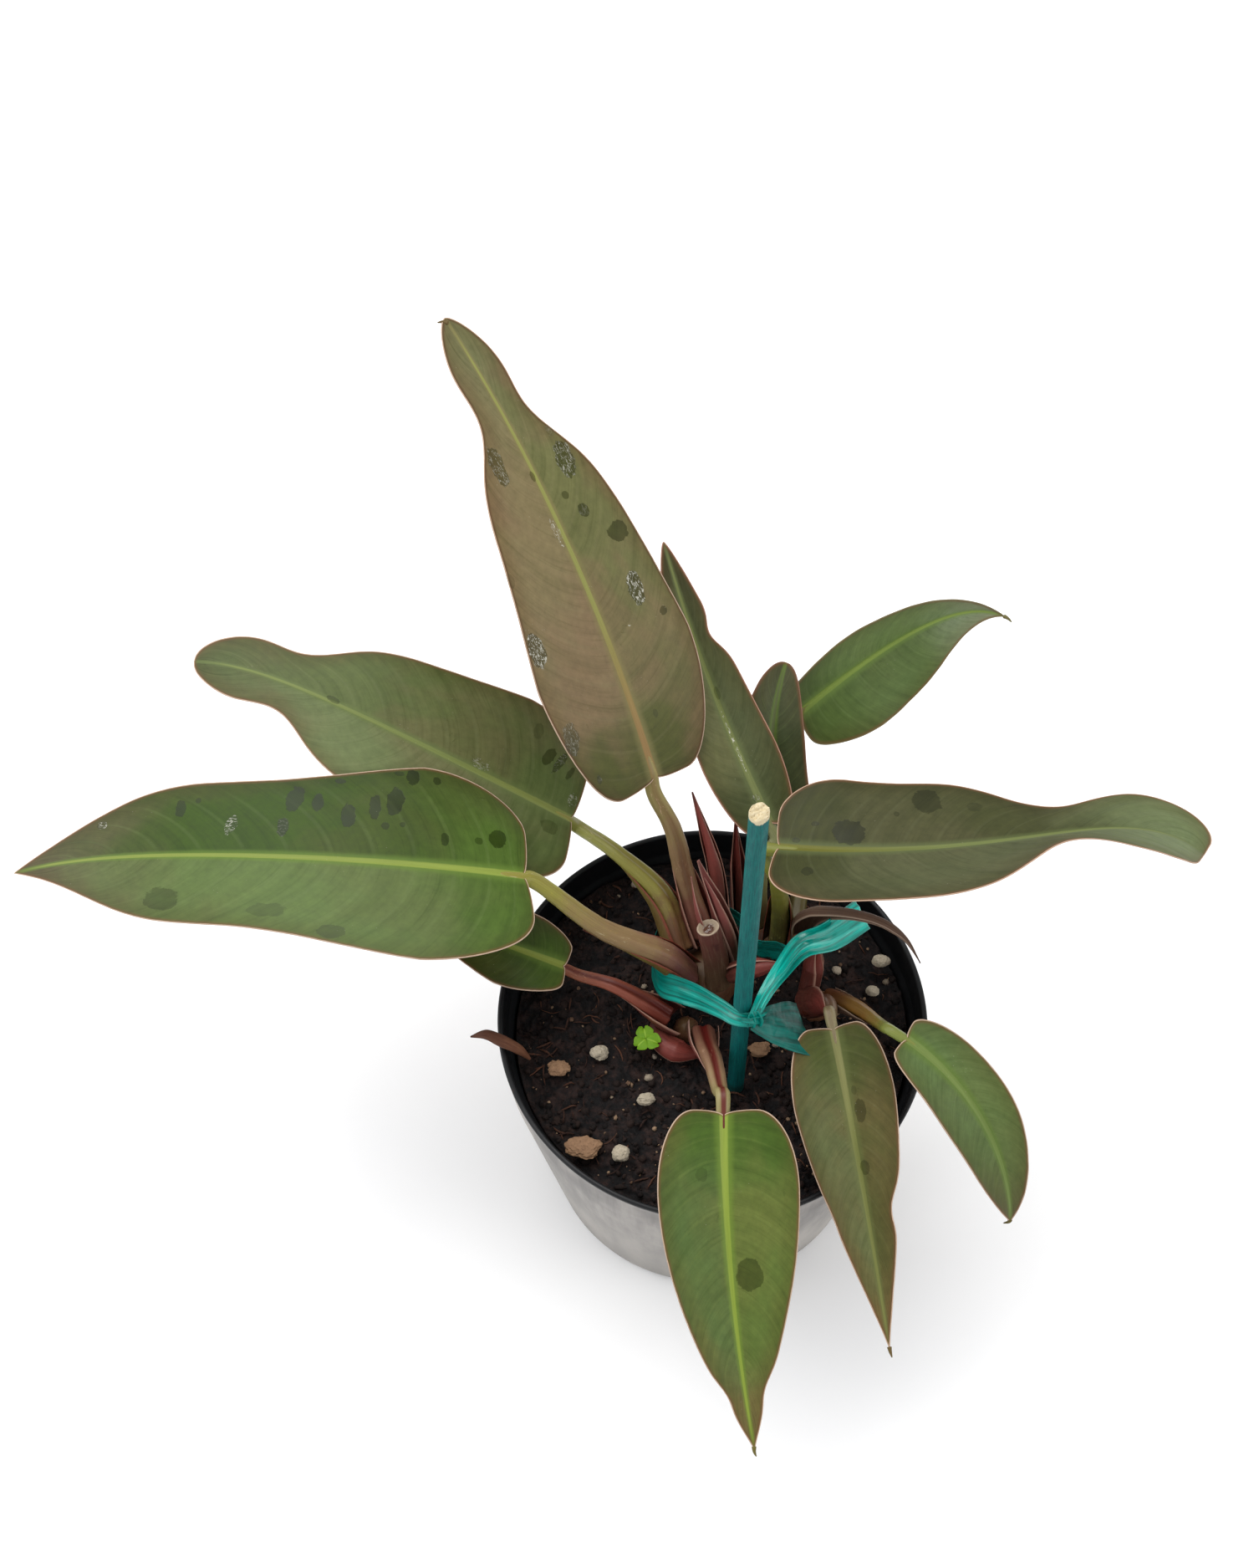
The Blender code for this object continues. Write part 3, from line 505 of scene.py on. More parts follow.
def leafMaterial(name, look, leaf):
    # Green lamina with brown tints, pale rim, light midrib, fine side veins, wet patches. Painted light
    # too: sheen on one half and on bands between veins, shade towards the stalk, highlights on the rim
    # and glints in wet patches.
    m = Mat(name, Coat_Roughness=0.18, Specular_IOR_Level=0.16)
    u, v, along = m.split(m.attr("ribs", True))
    across, down, edge = m.split(m.attr("flat", True))
    under = m.attr("under")
    pos = m.attr("flat", True)
    side = (across + 0.0004).step(-0.0016, 0.0016)
    broad = m.noise(pos, 26.0, 3.0, 0.55, 0.3)
    fine = m.noise(pos, 330.0, 4.0, 0.6)
    # Painted sheen: the two halves of the blade take different colours. The lighter half stands in for
    # light caught on that side, over the leaf's own green.
    colour = m.mix(look["right"], look["left"], side)
    colour = m.mix(colour, look["tip"], (along + (broad - 0.5) * 0.5).step(0.55, 1.0))
    # Partly painted shade: towards the stalk the blade darkens to the base colour. This is the leaf's
    # deeper green together with shade cast by the leaves over the crown.
    colour = m.mix(colour, look["base"], (along + (broad - 0.5) * 0.4).step(0.30, 0.0))
    blotch = (broad + u.abs() * 0.12).step(0.46, 0.74)
    colour = m.mix(colour, look["tint"], blotch * look["tintShare"])
    # Side veins sweep towards the tip: rows of equal v, bent by the share across.
    bent = v - u.abs() ** 1.4 * look["veinBend"]
    wide = m.noise(m.join(bent * 34.0, u.abs() * 0.9, side * 3.0), 1.0, 2.0, 0.5)
    streak = m.noise(m.join(bent * 150.0, u.abs() * 1.5, side * 3.0), 1.0, 3.0, 0.6)
    colour = m.mix(colour, m.multiply(colour, (0.72, 0.76, 0.66)), wide.step(0.48, 0.74) * 0.65)
    # Painted sheen: the lighter, bluish bands stand in for light caught on the quilted lamina between
    # the side veins.
    colour = m.mix(colour, m.multiply(colour, (1.22, 1.20, 1.25)), wide.step(0.50, 0.28) * 0.55)
    colour = m.mix(colour, m.multiply(colour, (0.70, 0.72, 0.62)), streak.step(0.48, 0.70) * 0.45)
    veinWave = ((bent * look["veins"] + fine * 0.03) * 6.2832).sin()
    vein = veinWave.step(0.90, 1.0) * u.abs().step(0.02, 0.15) * u.abs().step(1.0, 0.6)
    colour = m.mix(colour, look["vein"], vein * look["veinShare"])
    colour = m.multiply(colour, m.mix((0.74, 0.74, 0.74), (1.24, 1.24, 1.24), fine))
    # Small dents and scuffs.
    scuff = m.noise(m.join(across * 420.0, down * 260.0, 2.0), 1.0, 4.0, 0.7, 1.2)
    patches = m.noise(pos, 34.0, 2.0).step(0.52, 0.66)
    colour = m.mix(colour, m.multiply(colour, (0.60, 0.64, 0.50)),
                   scuff.step(0.60, 0.70) * patches * 0.55)
    # Towards the margin the lamina darkens a little.
    colour = m.mix(colour, m.multiply(colour, (0.80, 0.72, 0.62)), edge.step(0.008, 0.0008) * 0.75)
    # Midrib: half width narrows from base to tip, with a soft border.
    ribWidth = look["ribWidth"] * (1.02 - along ** 0.8 * 0.82) * (0.92 + fine * 0.16)
    ratio = across.abs() / ribWidth
    colour = m.mix(colour, look["halo"], ratio.step(3.2, 0.9) * 0.6)
    ribColour = m.mix(look["rib"], look["ribBase"], along.step(0.42, 0.05))
    ribLine = m.noise(m.join(across * 2600.0, down * 60.0, 5.0), 1.0, 2.0)
    ribColour = m.multiply(ribColour, m.mix((0.80, 0.80, 0.74), (1.14, 1.14, 1.14), ribLine))
    colour = m.mix(colour, ribColour, ratio.step(1.20, 0.65) * along.step(1.0, 0.88) * 0.88)
    # Rim: a thin pale line outside a faint red-brown one. The pale line is partly the margin's own
    # colour and partly a painted highlight where light catches the edge.
    wobble = edge + (fine - 0.5) * 0.0003
    colour = m.mix(colour, look["band"], wobble.step(0.0015, 0.0005) * look["bandShare"])
    colour = m.mix(colour, look["rim"], wobble.step(0.00042, 0.00020) * look["paleRimGlintShare"])
    # Wet patches: turned ellipses with ragged borders, some with a painted whitish glint where light
    # reflects off the water.
    ragged = m.noise(pos, 300.0, 3.0, 0.6, 0.4)
    wet, film = None, None
    for x, y, long, wide, turn, share, glintShare in leaf["wet"]:
        c, s = math.cos(math.radians(turn)), math.sin(math.radians(turn))
        dx, dy = across - x / 1000, down - y / 1000
        a = (dx * c + dy * s) / (wide / 1000)
        b = (dy * c - dx * s) / (long / 1000)
        spot = (a * a + b * b + (ragged - 0.5) * 1.7).step(1.12, 0.90)
        wet = spot * share if wet is None else wet.max(spot * share)
        if glintShare:
            film = spot * glintShare if film is None else film.max(spot * glintShare)
    rough = 0.44 + (broad - 0.5) * 0.14 + (fine - 0.5) * 0.12
    coat = 0.0
    if wet is not None:
        colour = m.mix(colour, m.multiply(colour, (0.36, 0.38, 0.20)), wet * 0.95)
        rough = rough - wet * 0.10
        coat = wet * 0.05
    # Painted glint: whitish streaks in the shiny patches stand in for light reflected off the water.
    if film is not None:
        dry = m.noise(m.join(across * 1100.0, down * 500.0, 0.0), 1.0, 4.0, 0.75, 1.4)
        colour = m.mix(colour, (0.50, 0.49, 0.42), dry.step(0.50, 0.64) * film)
    # Dust specks.
    speckFar, _ = m.voronoi(pos, 480.0)
    specks = speckFar.step(0.085, 0.04) * m.noise(pos, 50.0, 2.0).step(0.56, 0.7)
    colour = m.mix(colour, (0.40, 0.36, 0.28), specks * 0.45)
    # The underside's margin also takes the pale rim colour, which is partly a painted edge highlight.
    below = m.mix(look["under"], look["rim"], wobble.step(0.0008, 0.0003) * 0.5)
    below = m.mix(below, look["underRib"], ratio.step(1.6, 0.9))
    colour = m.mix(colour, below, under.step(0.7, 0.8))
    height = streak * 0.35 + fine * 0.3 + wide * 0.5
    if wet is not None:
        height = height * (1.0 - wet * 0.7) + wet * 0.5
    return m.finish(Base_Color=colour, Roughness=rough, Coat_Weight=coat,
                    Normal=m.bump(height, 0.22, 0.0002))


def shade(r, g, b, gain=0.62):
    # The studio light is bright, so a screen colour is darkened before it is a surface's.
    return tuple(gain * c for c in linear(r, g, b))


greenLook = {
    "left": (100, 122, 62), "right": (88, 108, 50), "tip": (120, 116, 76),
    "base": (84, 108, 48), "tint": (112, 108, 66), "vein": (132, 150, 92),
    "halo": (116, 142, 66), "rib": (158, 172, 84), "ribBase": (160, 172, 84),
    "band": (124, 84, 60), "rim": (226, 196, 172), "under": (120, 96, 78),
    "underRib": (160, 140, 100), "tintShare": 0.35, "veins": 13.0, "veinShare": 0.10,
    "veinBend": 0.16, "ribWidth": 0.0015, "bandShare": 0.55, "paleRimGlintShare": 0.9,
}


scattered = (0.008, 0.007, 0.008)


def look(**own):
    full = {**greenLook, **own}
    # A little is taken off each channel for the light that the surface scatters.
    return {k: (tuple(max(c - less, 0.003) for c, less in zip(shade(*v), scattered))
                if isinstance(v, tuple) else v) for k, v in full.items()}


# Each wet patch is (across, along, length, width, turn, darkening share, painted glint share), in mm and
# degrees.
leaves = {
    "leaf_top": {
        "base": (-0.0205, 0.061, 0.178), "heading": 113, "pitch": 44, "droop": 28, "sweep": 11,
        "roll": 22, "twist": -13, "length": 0.172, "width": 0.065, "lobe": 0.015, "blunt": 1.1,
        "point": 0.62, "fold": 0, "waist": 0.40, "waistAt": 0.78, "waistWidth": 0.10,
        "hook": [(0, 0, 0), (0.0015, 0.0012, -0.0003), (0.0022, 0.0032, -0.0006)],
        "wet": [(11, 118, 7.5, 2.5, 4, 0.9, 0.35), (-13, 122, 2, 1.5, 0, 0.3, 0.2),
                (-13, 111, 6.5, 3.5, 8, 1, 0.45), (1, 110, 2, 1, 0, 0.8, 0),
                (-7, 100, 1.5, 1.5, 0, 0.8, 0), (-11, 93, 2.5, 2, 0, 1, 0.15),
                (-20, 82, 3.5, 4, 0, 1, 0), (2, 89, 5.5, 1.5, 0, 0.1, 0.55),
                (-18, 62, 6, 3, 6, 1, 0.8), (-25, 51, 1.5, 1.5, 0, 0.9, 0),
                (-10, 51, 1, 0.5, 0, 0, 0.8), (27, 56, 6, 3, 0, 1, 0.8),
                (26, 81, 2.5, 1.5, 0, 0.35, 0), (27, 25, 5.5, 3, 12, 0.75, 0.25),
                (22, 8, 1.5, 1, 0, 0.7, 0.2), (-8, 20, 1.5, 1, 0, 0.5, 0)],
        "look": look(left=(138, 124, 90), right=(118, 118, 76), tip=(120, 120, 84),
                     base=(90, 92, 50), tint=(140, 112, 88), tintShare=0.5, vein=(150, 142, 104),
                     halo=(144, 134, 88), rib=(158, 160, 92), ribBase=(166, 132, 88),
                     band=(92, 54, 34)),
    },
    "leaf_left_upper": {
        "base": (-0.050, 0.0637, 0.1425), "heading": 167, "pitch": 33.5, "droop": 35,
        "sweep": -16.5, "roll": 1, "twist": -2, "length": 0.145, "width": 0.0685,
        "lobe": 0.015, "peak": 0.20, "blunt": 1.1, "point": 0.475, "lop": -0.02, "fold": 2,
        "waist": 0.395, "waistAt": 0.765, "waistWidth": 0.11, "waistLop": 0.055,
        "tipSweep": 27.5,
        "wet": [(-1, 94, 2.5, 1, 0, 0.8, 0), (-3, 38, 3.5, 2, 0, 0.2, 0.35),
                (-18, 15, 2, 4, 20, 0.9, 0), (-18, 10, 1.5, 5, 20, 0.9, 0.3),
                (-7, 1, 2, 2.5, 0, 0.2, 0.4), (7, 7, 3.5, 2.5, 0, 0.5, 0),
                (-16, 5, 1, 3, 20, 0.8, 0), (-25, 22, 2, 3, 0, 0.4, 0)],
        "look": look(left=(118, 130, 86), right=(104, 116, 70), tip=(96, 106, 68),
                     base=(104, 118, 70), tint=(126, 112, 82), tintShare=0.45,
                     vein=(138, 144, 104), halo=(118, 132, 80), rib=(136, 148, 88),
                     ribBase=(150, 160, 90)),
    },
    "leaf_left_front": {
        "base": (-0.0655, 0.030, 0.1645), "heading": 183.5, "pitch": 22, "droop": 55,
        "sweep": -16, "roll": 8, "twist": -21, "length": 0.186, "width": 0.075, "lobe": 0.015,
        "peak": 0.185, "blunt": 1.13, "point": 0.96, "lop": -0.033, "fold": 0,
        "waist": -0.485, "waistAt": 0.755, "waistWidth": 0.192, "tipSweep": 10,
        "wet": [(-17, 120, 2, 3, 0, 0.9, 0), (-20, 114, 1, 1, 0, 0.7, 0),
                (-12, 149, 2, 1.5, 0, 0.5, 0.5), (-11, 101, 2, 3.5, 15, 0.4, 0.6),
                (-11, 83, 2, 3.5, 0, 1, 0.1), (-22, 80, 3, 5, 15, 1, 0),
                (-21, 72, 2, 3.5, 0, 1, 0), (-30, 65, 2, 1, 0, 0.9, 0),
                (-17, 61, 2.5, 4.5, 0, 1, 0), (-21, 52, 2, 5, 0, 1, 0),
                (-24, 45, 3, 5.5, 10, 1, 0), (-34, 39, 2.5, 3, 0, 1, 0),
                (-34, 30, 1.5, 1.5, 0, 0.9, 0), (-14, 48, 1.5, 1.5, 0, 0.8, 0),
                (-11, 27, 1.5, 2.5, 0, 0.9, 0), (-12, 15, 1.5, 1.5, 0, 0.7, 0),
                (-14, 8, 3, 4, 0, 1, 0), (-15, 42, 1, 1, 0, 0.7, 0),
                (-35, 44, 2, 1, 0, 0.7, 0), (16, 122, 6.5, 4, 0, 0.7, 0),
                (20, 85, 6.5, 2.5, 0, 0.5, 0), (27, 63, 4.5, 2.5, 0, 0.6, 0)],
        "look": look(left=(104, 124, 70), right=(68, 90, 36), tip=(106, 100, 72),
                     base=(88, 112, 52), tint=(104, 100, 66), tintShare=0.25,
                     vein=(134, 152, 98), halo=(118, 146, 66), rib=(152, 166, 84),
                     ribBase=(160, 176, 84)),
    },
    "leaf_small_left": {
        "base": (-0.052, 0.014, 0.1265), "heading": 166, "pitch": 18, "droop": 14, "sweep": -5,
        "roll": 4, "twist": -17, "length": 0.062, "width": 0.030, "peak": 0.34, "blunt": 1.4,
        "point": 1.3, "lop": 0.03, "fold": 5,
        "look": look(left=(74, 92, 44), right=(70, 86, 42)),
    },
    "leaf_front": {
        "base": (0.002, -0.0495, 0.145), "heading": -90, "pitch": -25, "droop": 9, "sweep": 12.5,
        "roll": -4, "twist": 4, "length": 0.112, "width": 0.048, "peak": 0.22, "blunt": 1.8,
        "point": 1.1, "lop": 0.03, "fold": 10, "waist": 0.2, "waistAt": 0.83,
        "waistWidth": 0.06, "hook": [(0, 0, 0), (0.002, -0.0002, 0), (0.004, 0.0002, -0.0004)],
        "wet": [(6, 53, 5.5, 4.5, 10, 0.85, 0), (-8, 19, 2.5, 2, 0, 0.45, 0)],
        "look": look(left=(104, 124, 62), right=(98, 120, 68), tip=(132, 118, 78),
                     base=(84, 110, 48), tint=(126, 124, 68), tintShare=0.4,
                     vein=(140, 156, 84), halo=(128, 156, 64), rib=(156, 176, 76),
                     ribBase=(166, 184, 84)),
    },
    "leaf_front_right": {
        "base": (0.040, -0.0165, 0.140), "heading": -78.7, "pitch": -20, "droop": 9,
        "sweep": -1.2, "roll": 4, "twist": 10.5, "length": 0.109, "width": 0.036,
        "lobe": 0.015, "peak": 0.215, "blunt": 1.5, "point": 1.16, "lop": -0.055, "fold": 16,
        "waist": 0.13, "waistAt": 0.565, "waistWidth": 0.067, "waistLop": 0.7,
        "hook": [(0, 0, 0), (0.002, 0.0001, 0), (0.004, 0.0004, 0)],
        "wet": [(4, 28, 4, 2, 10, 0.75, 0), (2, 47, 2.5, 1.5, 0, 0.7, 0),
                (3, 21, 1.5, 1, 0, 0.4, 0)],
        "look": look(left=(98, 100, 58), right=(112, 120, 78), tip=(132, 118, 76),
                     base=(92, 100, 54), tint=(126, 106, 70), tintShare=0.5,
                     vein=(140, 138, 96), halo=(122, 130, 78), rib=(138, 142, 84),
                     ribBase=(166, 164, 110)),
    },
    "leaf_small_right": {
        "base": (0.064, -0.024, 0.1495), "heading": -32, "pitch": -14, "droop": 60,
        "sweep": -40, "roll": 5, "twist": 2, "length": 0.086, "width": 0.027, "peak": 0.32,
        "blunt": 2.0, "point": 0.95, "lop": -0.035, "fold": 11,
        "hook": [(0, 0, 0), (0.002, -0.0004, -0.0005), (0.003, -0.0022, -0.0012)],
        "look": look(left=(110, 130, 76), right=(102, 122, 72), tip=(104, 102, 58),
                     base=(108, 130, 80), tintShare=0.2, rib=(130, 150, 84),
                     ribBase=(140, 160, 92)),
    },
    "leaf_right": {
        "base": (0.021, 0.030, 0.1855), "heading": -8.8, "pitch": 7.5, "droop": 23.5,
        "sweep": 40, "roll": -11, "twist": -21, "length": 0.1475, "width": 0.0545,
        "lobe": 0.015, "peak": 0.15, "blunt": 2.0, "point": 0.25, "lop": 0.065, "fold": 6,
        "waist": 0.63, "waistAt": 0.665, "waistWidth": 0.16, "waistLop": -0.2,
        "tipSweep": -73,
        "wet": [(20, 52, 5.5, 5, 0, 0.8, 0), (7, 23, 6, 5, 20, 1, 0),
                (-11, 10, 2, 2, 0, 0.7, 0), (3, 5, 1.5, 1, 0, 0.7, 0),
                (10, 11, 1.5, 1, 0, 0.7, 0), (15, 40, 1, 1, 0, 0.6, 0),
                (16, 69, 3, 2, 0, 0.4, 0)],
        "look": look(left=(78, 80, 50), right=(92, 96, 66), tip=(122, 136, 92),
                     base=(72, 74, 44), tint=(104, 98, 72), tintShare=0.3, vein=(118, 122, 90),
                     halo=(106, 116, 72), rib=(128, 138, 84), ribBase=(120, 118, 50),
                     rim=(222, 186, 160)),
    },
    "leaf_upper_right": {
        "base": (0.0333, 0.1035, 0.1515), "heading": 36.7, "pitch": 17, "droop": 29,
        "sweep": -6, "roll": 53, "twist": 2, "length": 0.0865, "width": 0.0397, "lobe": 0.06,
        "peak": 0.3, "blunt": 1.7, "point": 1.22, "lop": -0.133, "fold": 21, "tipSweep": -56,
        "hook": [(0, 0, 0), (0.002, -0.0002, 0), (0.004, -0.0010, 0)],
        "look": look(left=(112, 136, 76), right=(98, 118, 68), tip=(158, 170, 140),
                     base=(92, 112, 58), tintShare=0.15, vein=(140, 160, 104),
                     halo=(124, 150, 76), rib=(146, 168, 82), ribBase=(146, 168, 82),
                     rim=(150, 140, 104)),
    },
    "leaf_back_right": {
        "base": (0.0253, 0.059, 0.138), "heading": 109.5, "pitch": 37, "droop": 10,
        "sweep": -40, "roll": 2, "twist": 4, "length": 0.0625, "width": 0.025,
        "lobe": 0.06, "peak": 0.32, "blunt": 1.96, "point": 0.48, "lop": 0.006, "fold": 17,
        "look": look(left=(84, 92, 64), right=(76, 84, 58), tip=(86, 90, 66),
                     base=(74, 82, 52), tintShare=0.2, rib=(104, 112, 76),
                     ribBase=(104, 112, 76), rim=(150, 110, 92)),
    },
    "leaf_back": {
        "base": (0.0195, 0.0575, 0.1525), "heading": 118, "pitch": 24.5, "droop": 2,
        "sweep": -11, "roll": 0, "twist": -5, "length": 0.105, "width": 0.0294,
        "lobe": 0.028, "peak": 0.23, "blunt": 1.4, "point": 0.76, "lop": 0.085, "fold": 17,
        "waist": 0.33, "waistAt": 0.655, "waistWidth": 0.061,
        "wet": [(0, 29, 12, 0.5, 0, 0.1, 0.9), (1, 9, 1.5, 1.5, 0, 0.3, 0.5),
                (-1, 48, 2.5, 1, 0, 0.5, 0)],
        "look": look(left=(112, 114, 78), right=(88, 94, 64), tip=(74, 72, 48),
                     base=(84, 90, 58), tintShare=0.3, vein=(118, 122, 92),
                     halo=(118, 128, 84), rib=(132, 140, 86), ribBase=(140, 148, 96),
                     rim=(196, 150, 130)),
    },
}
for name, shape in leaves.items():
    leaf = {**leafCommon, **shape}
    putMesh(name + "_fine", leafMesh(leaf), leafMaterial(name, leaf["look"], leaf),
            (name,))
print("leaves done")


# Leaf stalks

def stalkMaterial(name, foot, middle, end, groove, scar, red=0.0):
    m = Mat(name, Coat_Weight=0.15, Coat_Roughness=0.3)
    along, turn = m.attr("along"), m.attr("turn")
    pos = m.objectPos()
    blotch = m.noise(pos, 130.0, 4.0, 0.6)
    line = m.noise(m.join(along * 5.0, turn * 46.0, 0.0), 1.0, 3.0, 0.6)
    colour = m.mix(foot, middle, (along + (blotch - 0.5) * 0.5).step(0.08, 0.42))
    colour = m.mix(colour, end, (along + (blotch - 0.5) * 0.4).step(0.45, 0.85))
    colour = m.mix(colour, m.multiply(colour, (0.62, 0.55, 0.50)), line.step(0.5, 0.72) * 0.7)
    low = (turn - 0.25).abs().step(0.10, 0.03)
    colour = m.mix(colour, groove, low * red)
    scars = m.noise(m.join(along * 22.0, turn * 26.0, 3.0), 1.0, 4.0, 0.65, 0.6)
    patch = m.noise(pos, 60.0, 2.0).step(0.55, 0.62)
    colour = m.mix(colour, scar, scars.step(0.58, 0.66) * patch * 0.8)
    speck = m.noise(pos, 1500.0, 2.0).step(0.62, 0.72)
    colour = m.mix(colour, m.multiply(colour, (1.5, 1.35, 1.2)), speck * 0.5)
    height = line * 0.5 + blotch * 0.4 + scars.step(0.56, 0.66) * patch * 0.5
    rough = 0.40 + (blotch - 0.5) * 0.2
    return m.finish(Base_Color=colour, Roughness=rough, Normal=m.bump(height, 0.35, 0.0003))


stalks = {
    "petiole_top": {
        "leaf": "leaf_top", "foot": 0.0046, "end": 0.0026, "groove": 0.22, "flat": 0.92,
        "path": [(-0.003, 0.029, 0.119), (-0.009, 0.041, 0.136), (-0.014, 0.051, 0.158)],
        "colours": [(138, 88, 74), (158, 128, 92), (156, 142, 84), (104, 46, 34), (206, 170, 134)],
        "red": 0.35,
    },
    "petiole_left_upper": {
        "leaf": "leaf_left_upper", "foot": 0.0052, "end": 0.0025, "groove": 0.25, "flat": 0.9,
        "path": [(-0.0110, 0.0225, 0.119), (-0.0180, 0.0390, 0.131), (-0.033, 0.051, 0.1395)],
        "colours": [(130, 92, 66), (160, 154, 72), (160, 162, 80), (126, 96, 48), (196, 182, 128)],
        "red": 0.25,
    },
    "petiole_left_front": {
        "leaf": "leaf_left_front", "foot": 0.0052, "end": 0.0028, "groove": 0.2, "flat": 0.9,
        "path": [(-0.008, 0.013, 0.119), (-0.017, 0.0145, 0.1345), (-0.039, 0.019, 0.146)],
        "colours": [(132, 84, 78), (150, 122, 82), (158, 154, 66), (120, 100, 50), (206, 190, 150)],
        "red": 0.2,
    },
    "petiole_small_left": {
        "leaf": "leaf_small_left", "foot": 0.0040, "end": 0.0020, "groove": 0.35, "flat": 0.8,
        "path": [(-0.0155, 0.001, 0.1115), (-0.024, 0.004, 0.1185), (-0.035, 0.008, 0.1235)],
        "colours": [(130, 60, 46), (158, 84, 64), (150, 88, 62), (96, 34, 28), (190, 136, 104)],
        "red": 0.8,
    },
    "petiole_front": {
        "leaf": "leaf_front", "foot": 0.0044, "end": 0.0024, "groove": 0.35, "flat": 0.85,
        "path": [(-0.0035, -0.005, 0.1125), (-0.0025, -0.014, 0.121), (-0.0005, -0.025, 0.131),
                 (0.001, -0.038, 0.140)],
        "colours": [(132, 86, 70), (158, 122, 94), (168, 156, 104), (104, 26, 22), (196, 160, 130)],
        "red": 0.95,
    },
    "petiole_front_right": {
        "leaf": "leaf_front_right", "foot": 0.0040, "end": 0.0018, "groove": 0.2, "flat": 0.9,
        "path": [(0.0345, 0.004, 0.113), (0.039, 0.000, 0.127), (0.040, -0.008, 0.134)],
        "colours": [(96, 44, 30), (130, 96, 70), (172, 160, 120), (90, 40, 26), (190, 170, 140)],
        "red": 0.3,
    },
    "petiole_small_right": {
        "leaf": "leaf_small_right", "foot": 0.0036, "end": 0.0018, "groove": 0.15, "flat": 0.95,
        "path": [(0.041, 0.008, 0.113), (0.049, -0.004, 0.131), (0.056, -0.015, 0.1415)],
        "colours": [(120, 70, 40), (150, 108, 48), (140, 152, 72), (130, 110, 50), (170, 150, 100)],
        "red": 0.1,
    },
    "petiole_right": {
        "leaf": "leaf_right", "foot": 0.0042, "end": 0.0024, "groove": 0.2, "flat": 0.95,
        "path": [(0.0235, 0.028, 0.1145), (0.0235, 0.031, 0.135), (0.020, 0.027, 0.170)],
        "colours": [(104, 92, 50), (132, 130, 56), (130, 134, 50), (96, 88, 38), (160, 150, 90)],
        "red": 0.2,
    },
    "petiole_upper_right": {
        "leaf": "leaf_upper_right", "foot": 0.0032, "end": 0.0017, "groove": 0.1, "flat": 0.95,
        "path": [(0.0305, 0.036, 0.1145), (0.0325, 0.056, 0.120), (0.0325, 0.084, 0.133)],
        "colours": [(96, 84, 46), (120, 120, 56), (120, 130, 66), (96, 88, 38), (150, 150, 90)],
        "red": 0.1,
    },
    "petiole_back_right": {
        "leaf": "leaf_back_right", "foot": 0.0028, "end": 0.0017, "groove": 0.1, "flat": 0.95,
        "path": [(0.0240, 0.0405, 0.1145), (0.0250, 0.050, 0.127)],
        "colours": [(96, 70, 50), (110, 84, 64), (110, 96, 70), (80, 60, 40), (150, 130, 100)],
        "red": 0.1,
    },
    "petiole_back": {
        "leaf": "leaf_back", "foot": 0.0030, "end": 0.0020, "groove": 0.1, "flat": 0.95,
        "path": [(0.0175, 0.0355, 0.1145), (0.017, 0.042, 0.132), (0.0175, 0.048, 0.143)],
        "colours": [(110, 90, 60), (130, 126, 76), (140, 144, 96), (96, 88, 50), (160, 150, 110)],
        "red": 0.1,
    },
}
for name, s in stalks.items():
    leaf = {**leafCommon, **leaves[s["leaf"]]}
    centre, forward, side, normal = leafFrame(leaf, np.array([0.0, 0.05]))
    end = centre[1] - normal[1] * (s["end"] * 0.55)
    joint = centre[0] - normal[0] * (s["end"] * 0.85)
    before = joint - forward[0] * 0.007 - normal[0] * 0.001
    path, share, _ = curve([*s["path"], before, joint, end], 90)
    radius = np.interp(share, [0, 0.25, 0.6, 0.9, 1], [s["foot"], s["foot"] * 0.86,
                       s["end"] * 1.18, s["end"], s["end"] * 0.55])
    radius = radius * roundEnds(share, 0.01, 0.03)
    radius = radius * (1 + 0.05 * ripple(path, 300.0, len(name)))

    def section(angle, along, deep=s["groove"]):
        away = (angle - math.pi / 2 + math.pi) % (2 * math.pi) - math.pi
        return 1 - deep * np.exp(-(away / 0.38) ** 2) * ease(along, 0.95, 0.6) \
            + 0.03 * np.cos(5 * angle)

    hint = -np.cross(forward[0], (0, 0, 1.0))
    points = tube(path, radius, 40, s["flat"], hint, section)
    foot, middle, tipColour, groove, scar = [shade(*c) for c in s["colours"]]
    mat = stalkMaterial(name, foot, middle, tipColour, groove, scar, s["red"])
    slotName = "petiole_red" if name in ("petiole_small_left", "petiole_front",
                                         "petiole_front_right") else "petiole_green"
    putMesh(name + "_fine", [points], mat, (name,))
print("stalks done")


# Pot

def revolve(profile, steps, bumps=None):
    # A closed profile of (radius, height) turned round Z. It stays clear of the axis.
    profile = np.array(profile, float)
    angle = np.linspace(0, 2 * np.pi, steps, endpoint=False)
    r = profile[None, :, 0] * np.ones((steps, 1))
    if bumps is not None:
        r = r + bumps(angle[:, None], profile[None, :, 1], profile[None, :, 0])
    pts = np.stack([r * np.cos(angle)[:, None], r * np.sin(angle)[:, None],
                    np.broadcast_to(profile[None, :, 1], r.shape)], -1)
    return pts.reshape(-1, 3), gridFaces(steps, len(profile), wrapRows=True, wrapCols=True)


potLow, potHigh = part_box("pot")
potTop = potHigh[2]
rimR = (potHigh[0] - potLow[0]) / 2
footR = rimR * 59 / 75
potWall = 0.0013
potSteps = 360


